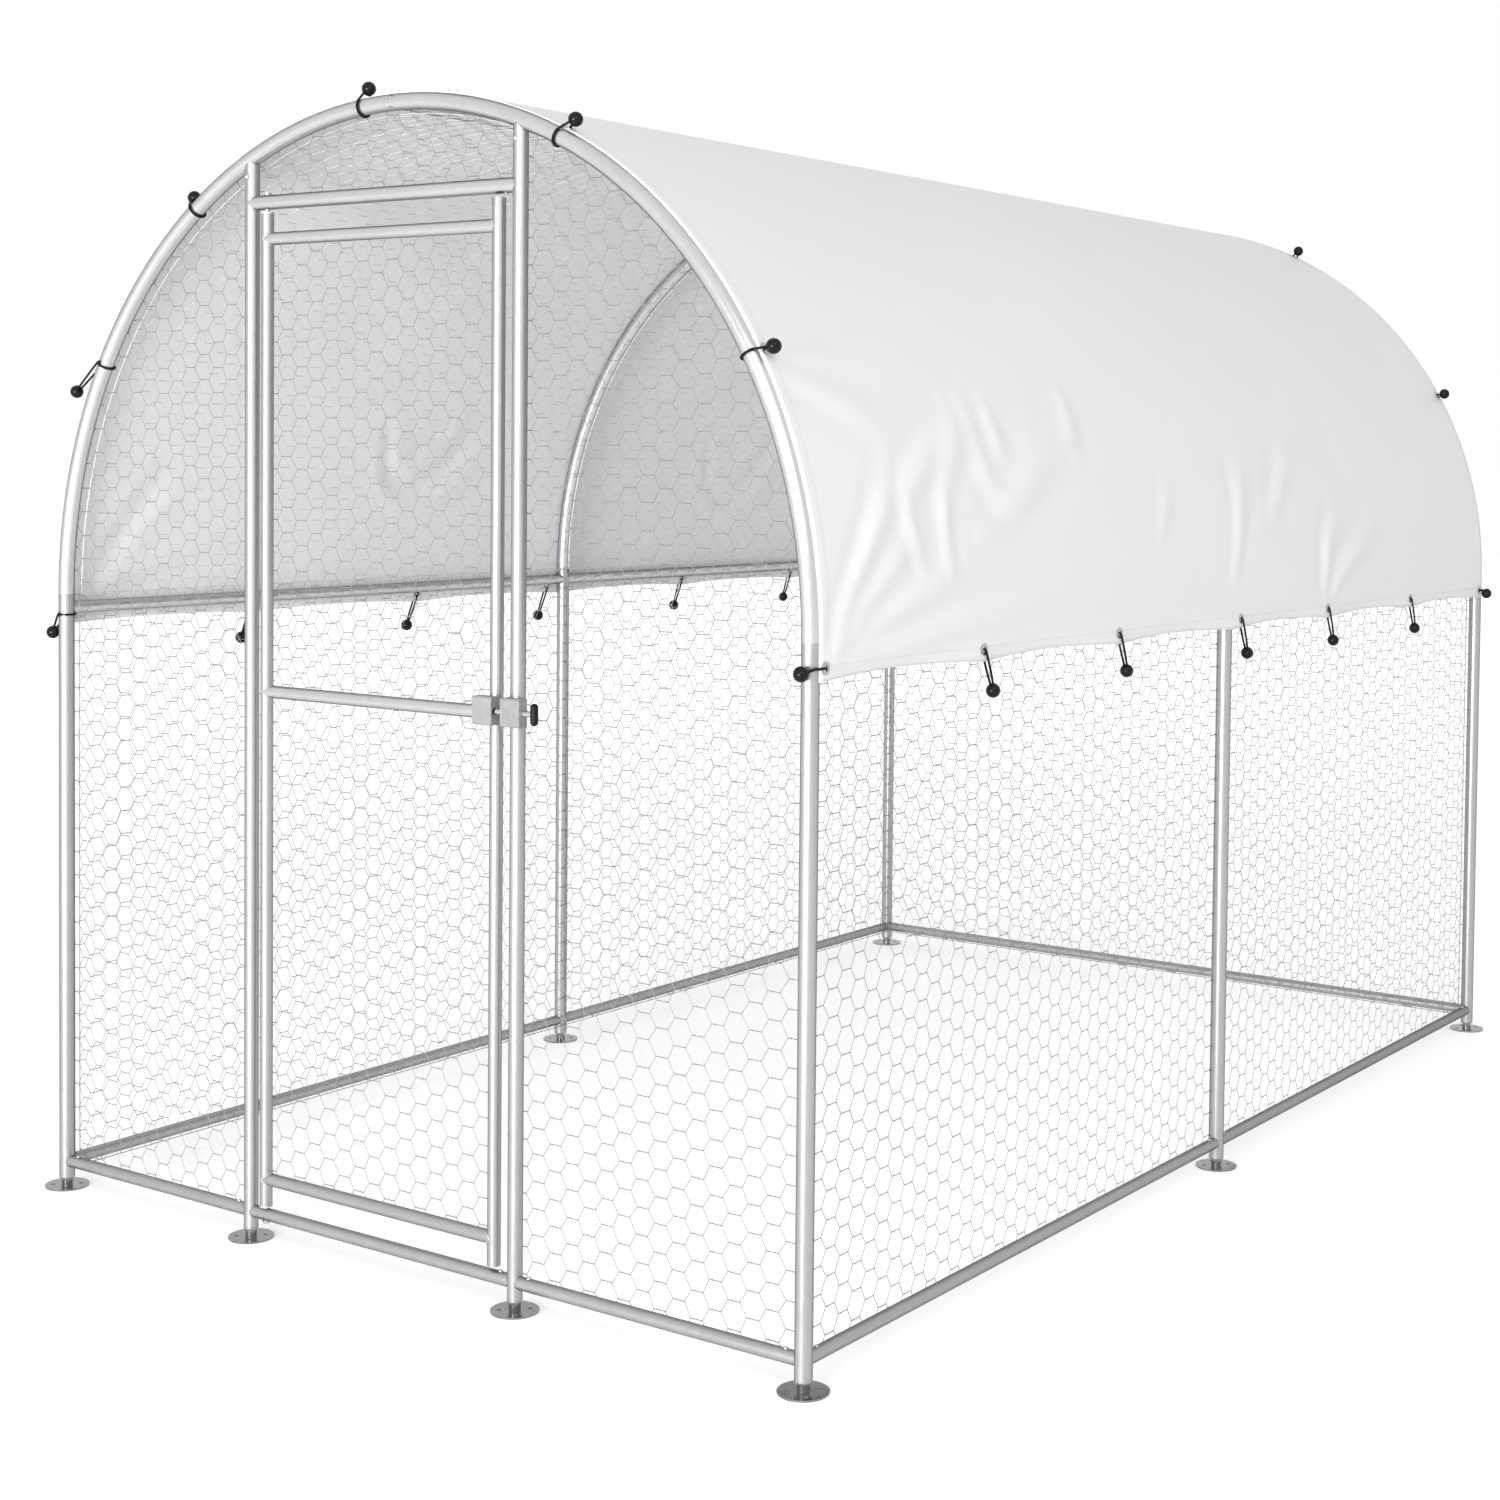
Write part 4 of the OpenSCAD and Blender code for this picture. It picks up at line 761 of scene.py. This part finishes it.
def black_finish(name, dark, light, grain, dullness, bumpy, shine):
    """Black rubber or plastic with a fine grain."""
    finish, tree, skin = blank_finish(name)
    mottle = wire_up(tree, "Group", {"node_tree": black_grain}, Dark=dark, Light=light,
                     Grain=grain).outputs
    coat(tree, skin, mottle["Colour"], add_share(tree, dullness, mottle["Height"], grain_dulls))
    skin.inputs["Specular IOR Level"].default_value = shine
    emboss(tree, skin, mottle["Height"], grain_deep, bumpy)
    return finish


elastic = black_finish("elastic", cord_tone, cord_fleck, grain=1400.0, dullness=0.55, bumpy=0.5, shine=0.10)
ball_plastic = black_finish("ball_plastic", ball_tone, ball_worn, grain=500.0, dullness=0.16, bumpy=0.06,
                            shine=0.16)

# The ball's outline, turned: a lipped hole for the cord below, and a moulding line round the middle
round_from, round_by, round_steps, mould_line, mould_half = -62, 152, 24, 0.0002, 0.06
ball_outline = [(0, -0.0088), (0.0036, -0.0088), (0.0044, -0.0100), (0.0050, -0.0112), (0.0056, -0.0109)]
for k in range(1, round_steps):
    a = math.radians(round_from + round_by * k / round_steps)
    ridge = mould_line if abs(a) < mould_half else 0
    ball_outline.append(((ball_r + ridge) * math.cos(a), (ball_r + ridge) * math.sin(a)))
ball_outline.append((0, ball_r))
ball_points, ball_faces = turned(ball_outline, around=32)
ball_mesh = bpy.data.meshes.new("bungee_ball")
ball_mesh.from_pydata([tuple(p) for p in ball_points], [], ball_faces)
ball_mesh.materials.append(ball_plastic)
ball_mesh.shade_smooth()


def bungee(name, route, ball_at, out_of_ball, cords_node, balls_node):
    """One bungee: its cord from the eyelet through the ball and back to the eyelet, and its ball."""
    run = [between(*neighbours(route, k), t) for k in range(len(route) - 1) for t in (0.0, 0.34, 0.67)]
    run.append(route[-1])
    line = bpy.data.curves.new(f"{name}_cord", "CURVE")
    line.dimensions = "3D"
    line.bevel_depth = cord_d / 2
    line.bevel_resolution = 3
    line.use_fill_caps = True
    spline = line.splines.new("POLY")
    spline.points.add(len(run) - 1)
    for point, p in zip(spline.points, run):
        point.co = (*p, 1)
    spline.use_smooth = True
    line.materials.append(elastic)
    cord = put_in(f"{name}_cord", line)
    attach(cord, "frame")
    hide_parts(cords_node)
    ball = put_in(f"{name}_ball", ball_mesh)
    facing = (-Vector(out_of_ball)).to_track_quat("Z", "X").to_matrix().to_4x4()
    ball.matrix_world = Matrix.Translation(ball_at) @ facing
    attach(ball, "frame")
    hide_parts(balls_node)
    length = sum((b - a).length for a, b in zip(run, run[1:]))
    tuple(run[0])


def in_ball(ball):
    """Where the two strands enter a ball that stands off its tube, and the cord's bend inside it."""
    away = math.hypot(ball[0], ball[1])
    step = Vector((-ball[1], ball[0], 0)) * (strand_half / away)
    inward = Vector((ball[0], ball[1], 0)) * (into_ball / away)
    return ball + step, ball + inward, ball - step


def round_tube(ball):
    """Route of a loop round a tube, seen along it: out of the eyelet, into the ball, round and back."""
    away = math.hypot(ball[0], ball[1])
    way, opening = math.atan2(ball[1], ball[0]), math.acos(wrap_r / away)
    eyelet = Vector((eyelet_rim, end_eyelet_in, 0))
    leaves = max(way + opening, least_wrap) - 2 * math.pi
    wraps = [Vector((wrap_r * math.cos(a), wrap_r * math.sin(a), 0))
             for a in np.linspace(way - opening, leaves, wrap_steps)]
    return [eyelet, *in_ball(ball), *wraps, eyelet]


def across_front(ball):
    """Route of the loop at the front right corner, whose ball is pulled round to the front of the post."""
    def at(r, degrees):
        return Vector((r * math.cos(math.radians(degrees)), r * math.sin(math.radians(degrees)), 0))
    away = math.hypot(ball[0], ball[1])
    eyelet = Vector((sheet_up, beside_eyelet, 0))
    leaves = 360 + math.degrees(math.atan2(ball[1], ball[0]) - math.acos(wrap_r / away))
    inner = [at(wrap_r + 0.005, 62), at(wrap_r + 0.002, 92)]
    inner += [at(wrap_r, a) for a in np.linspace(120, leaves, 6)]
    outer = [at(cord_proud, -35), Vector((cord_proud, 0.006, 0)), Vector((cord_proud, 0.012, 0))]
    return [eyelet, *inner, *reversed(in_ball(ball)), *outer, eyelet]


# Each hoop bungee: its angle up the hoop, how far its ball stands out, and how far it droops. The balls lie
# a little inside the hoop, along the run
upper_bungees = [(30, 0.033, 0.006), (65, 0.033, 0.006), (95, 0.033, 0), (125, 0.033, 0.006)]
front_bungees = upper_bungees + [(150, 0.063, 0.092)]
back_bungees = upper_bungees + [(150, 0.033, 0.006)]
ball_inside = 0.014

# Each corner bungee's ball, from the post's middle at the eyelets' height: outwards, along the run, and up
corner_balls = {(end, hand): Vector((0.033, ball_inside, -0.008)) for end in ("front", "back")
                for hand in ("right", "left")}
corner_balls["front", "right"] = Vector((0.005, -0.031, -0.006))
corner_balls["front", "left"] = Vector((0.026, -0.010, -0.034))
on_tube = Vector((0, 0, 0))
for end, mirrored, group in (("front", 1, front_bungees), ("back", -1, back_bungees)):
    for degrees, stand, droop in group:
        a = math.radians(degrees)

        def onto_hoop(p, a=a, mirrored=mirrored):
            x = wall_x + p.x
            return Vector((x * math.cos(a) - p.z * math.sin(a), mirrored * (front_y + p.y),
                           spring_z + x * math.sin(a) + p.z * math.cos(a)))
        ball = Vector((stand, ball_inside, -droop * (1 if math.cos(a) > 0 else -1)))
        route = [onto_hoop(p) for p in round_tube(ball)]
        bungee(f"{end}_hoop_{degrees}", route, onto_hoop(ball), onto_hoop(on_tube) - onto_hoop(ball),
               "hoop_bungee_cords", "hoop_bungee_balls")
    for hand, sign in (("right", 1), ("left", -1)):
        def onto_post(p, sign=sign, mirrored=mirrored):
            return Vector((sign * (wall_x + p.x), mirrored * (front_y + p.y), hem_z + eyelet_up + p.z))
        ball = corner_balls[end, hand]
        pulled_round = (end, hand) == ("front", "right")
        route = [onto_post(p) for p in (across_front(ball) if pulled_round else round_tube(ball))]
        bungee(f"{end}_{hand}_corner", route, onto_post(ball), onto_post(on_tube) - onto_post(ball),
               "hoop_bungee_cords", "hoop_bungee_balls")

# The free bungees along the eaves, each hung over its eyelet's edge and leaning along the run
loop_r, ball_drop, lean_back = 0.00395, 0.076, math.radians(24)
top_bend = 0.0005 - loop_r
hang = [(loop_r * math.sin(a), top_bend + loop_r * math.cos(a)) for a in np.linspace(0, math.pi / 2, 4)]
hang += [(loop_r, -ball_drop / 2), (strand_half, 0.006 - ball_drop), (strand_half * 0.8, -ball_drop)]
hang = hang + [(0, -ball_drop - 0.003)] + [(-x, z) for x, z in reversed(hang)]
for hand, sign in (("right", 1), ("left", -1)):
    swing_y, swing_z = -sign * math.sin(lean_back), math.cos(lean_back)
    for k, y in enumerate(eave_places(sign)):
        route = [Vector((sign * (sheet_r + x), y + z * swing_y, hem_z + eyelet_up + z * swing_z))
                 for x, z in hang]
        ball_at = Vector((sign * sheet_r, y - ball_drop * swing_y, hem_z + eyelet_up - ball_drop * swing_z))
        bungee(f"{hand}_eave_{k + 1}", route, ball_at, (0, swing_y, swing_z), "eave_bungee_cords",
               "eave_bungee_balls")

# Door pivots
# A plain steel pin with a head through the lintel and another through the threshold. Each turns in a nylon
# bush pressed into the end of the hinge stile, and the lower pin's collar carries the door.
pin_tone = (0.50, 0.50, 0.50, 1)
nylon_tone, nylon_aged = (0.55, 0.55, 0.53, 1), (0.47, 0.46, 0.43, 1)
nylon_scale, nylon_dull, aged_dull = 120.0, 0.35, 0.2
pin_zinc = zinc_finish("pin_zinc", pin_tone, crystals=250.0, contrast=0.3, dullness=0.26, metal=0.8,
                       pitting=0.08)
dress(pin_zinc, "pivot_pins")
bush_nylon, tree, skin = blank_finish("bush_nylon")
yellowing = speckle(tree, on_piece(tree), nylon_scale, 4.0)
coat(tree, skin, mix_tones(tree, yellowing, nylon_tone, nylon_aged),
     add_share(tree, nylon_dull, yellowing, aged_dull))
dress(bush_nylon, "pivot_bushes")

# Door leaf
# Two 22 mm stiles and three rails of the same tube, the rails' ends fish-mouthed and welded round, then the
# whole leaf is galvanised and netted on its inner side.
weld_tone = (0.46, 0.465, 0.47, 1)
leaf_r, bead_r, bead_steps, bead_sides, bead_tilt = 0.011, 0.0017, 72, 8, 0.6
bead_ripple, ripples_round, bead_waver, wavers_round = 0.22, 24, 0.12, 5
stile_x, rail_heights = (-0.307, 0.231), (1.752, 0.968, 0.111)
dress(tube_zinc, "hinge_stile", "latch_stile", "door_bottom_rail")
# The top and middle rails take the hoops' lit copy of the zinc, its lighter tone painted light
dress(hoop_zinc_painted_light, "door_top_rail", "door_middle_rail")
turn = np.linspace(0, 2 * math.pi, bead_steps + 1)
points, faces = [], []
for rail_z in rail_heights:
    for x, inward in zip(stile_x, (1, -1)):
        bead = np.stack([x + inward * leaf_r * np.abs(np.sin(turn)), front_y + leaf_r * np.cos(turn),
                         rail_z + leaf_r * np.sin(turn)], -1)
        swell = bead_r * (1 + bead_ripple * np.sin(turn * ripples_round)
                          + bead_waver * np.sin(turn * wavers_round + rail_z))
        out = np.stack([np.full(len(turn), bead_tilt * inward), np.cos(turn), np.sin(turn)], -1)
        out /= np.linalg.norm(out, axis=1, keepdims=True)
        along = np.gradient(bead, axis=0)
        along /= np.linalg.norm(along, axis=1, keepdims=True)
        beside = np.cross(along, out)
        ring = [bead + swell[:, None] * (math.cos(a) * out + math.sin(a) * beside)
                for a in np.arange(bead_sides) * 2 * math.pi / bead_sides]
        base = len(points)
        points += list(np.stack(ring, 1).reshape(-1, 3))
        for k in range(bead_steps):
            a, b = base + k * bead_sides, base + (k + 1) * bead_sides
            for m in range(bead_sides):
                n = (m + 1) % bead_sides
                faces.append((a + m, a + n, b + n, b + m))
weld_zinc = zinc_finish("weld_zinc", weld_tone, crystals=350.0, contrast=0.5, dullness=0.42, metal=0.5,
                        pitting=0.35)
welds = piece("door_weld_beads", points, faces, weld_zinc, "door")

# Latch
# A steel barrel bolt: the guide is clamped round the latch post, the keeper's plate is fixed to the leaf,
# and the bolt is drawn by a black plastic knob.
latch_tone, bolt_tone = (0.30, 0.304, 0.308, 1), (0.52, 0.52, 0.52, 1)
latch_zinc = zinc_finish("latch_zinc", latch_tone, crystals=140.0, contrast=0.35, dullness=0.48, metal=0.3,
                         pitting=0.15)
dress(latch_zinc, "latch_guide", "latch_keeper")
bolt_zinc = zinc_finish("bolt_zinc", bolt_tone, crystals=200.0, contrast=0.25, dullness=0.22, metal=0.8,
                        pitting=0.06)
dress(bolt_zinc, "latch_bolt")
knob_plastic = black_finish("knob_plastic", ball_tone, ball_worn, grain=700.0, dullness=0.34, bumpy=0.25,
                            shine=0.16)
dress(knob_plastic, "latch_knob")

# Floor and light
# A plain pale floor that runs out to a white surround. A broad soft lamp stands high beyond the front right
# corner, for the roof's right side, and a low one far in front of the door end reaches in under the roof.
floor_tone, floor_scuff, scuff_scale = (0.93, 0.93, 0.93, 1), (0.92, 0.92, 0.92, 1), 3.0
floor_r, floor_sides, floor_dull = 30.0, 96, 0.9
near_r, far_r, near_glow, far_glow = 2.0, 9.0, 0.34, 0.46
white, soft_strength, seen_strength = (1, 1, 1, 1), 0.70, 1.0


def seen_straight(tree):
    """1 where the camera sees this, also mirrored or through something clear, and 0 where it only lights."""
    ray = wire_up(tree, "LightPath").outputs
    seen = reckon(tree, "MAXIMUM", ray["Is Camera Ray"], ray["Is Glossy Ray"])
    return reckon(tree, "MAXIMUM", seen, ray["Is Transmission Ray"])


floor_white, tree, skin = blank_finish("floor_white")
place = on_piece(tree)
scuffs = mix_tones(tree, speckle(tree, place, scuff_scale, 4.0), floor_tone, floor_scuff)
tree.links.new(scuffs, skin.inputs["Base Color"])
skin.inputs["Roughness"].default_value = floor_dull
skin.inputs["Specular IOR Level"].default_value = 0.0
away = wire_up(tree, "VectorMath", {"operation": "LENGTH"}, Vector=place).outputs["Value"]
fade = ease(tree, away, near_r, far_r, near_glow, far_glow)
glow = wire_up(tree, "Emission", Strength=reckon(tree, "MULTIPLY", seen_straight(tree), fade))
tree.links.new(wire_up(tree, "AddShader", n0=skin.outputs[0], n1=glow.outputs[0]).outputs[0],
               tree.nodes["Material Output"].inputs["Surface"])
floor_mesh = bpy.data.meshes.new("studio_floor")
rim = [(floor_r * math.cos(a), floor_r * math.sin(a), 0)
       for a in np.arange(floor_sides) * 2 * math.pi / floor_sides]
floor_mesh.from_pydata(rim, [], [tuple(range(floor_sides))])
floor_mesh.materials.append(floor_white)
floor = put_in("studio_floor", floor_mesh)

surround = bpy.data.worlds.new("white_surround")
bpy.context.scene.world = surround
surround.use_nodes = True
tree = surround.node_tree
soft_light = wire_up(tree, "Background", Color=white, Strength=soft_strength)
backdrop = wire_up(tree, "Background", Color=white, Strength=seen_strength)
both = wire_up(tree, "MixShader", n0=seen_straight(tree), n1=soft_light.outputs[0],
               n2=backdrop.outputs[0])
tree.links.new(both.outputs[0], tree.nodes["World Output"].inputs["Surface"])


def soft_lamp(name, at, aim, wide, high, power):
    lamp = bpy.data.lights.new(name, "AREA")
    lamp.shape = "RECTANGLE"
    lamp.size, lamp.size_y, lamp.energy = wide, high, power
    facing = (Vector(at) - Vector(aim)).to_track_quat("Z", "Y").to_matrix().to_4x4()
    put_in(name, lamp).matrix_world = Matrix.Translation(at) @ facing


soft_lamp("corner_lamp", at=(4.8, -4.4, 4.2), aim=(0.2, -0.4, 1.0), wide=3.6, high=3.0, power=96)
soft_lamp("door_lamp", at=(1.3, -10.0, 1.0), aim=(-0.4, 0.0, 1.3), wide=3.0, high=2.0, power=840)
bpy.context.scene.view_settings.view_transform = "Standard"
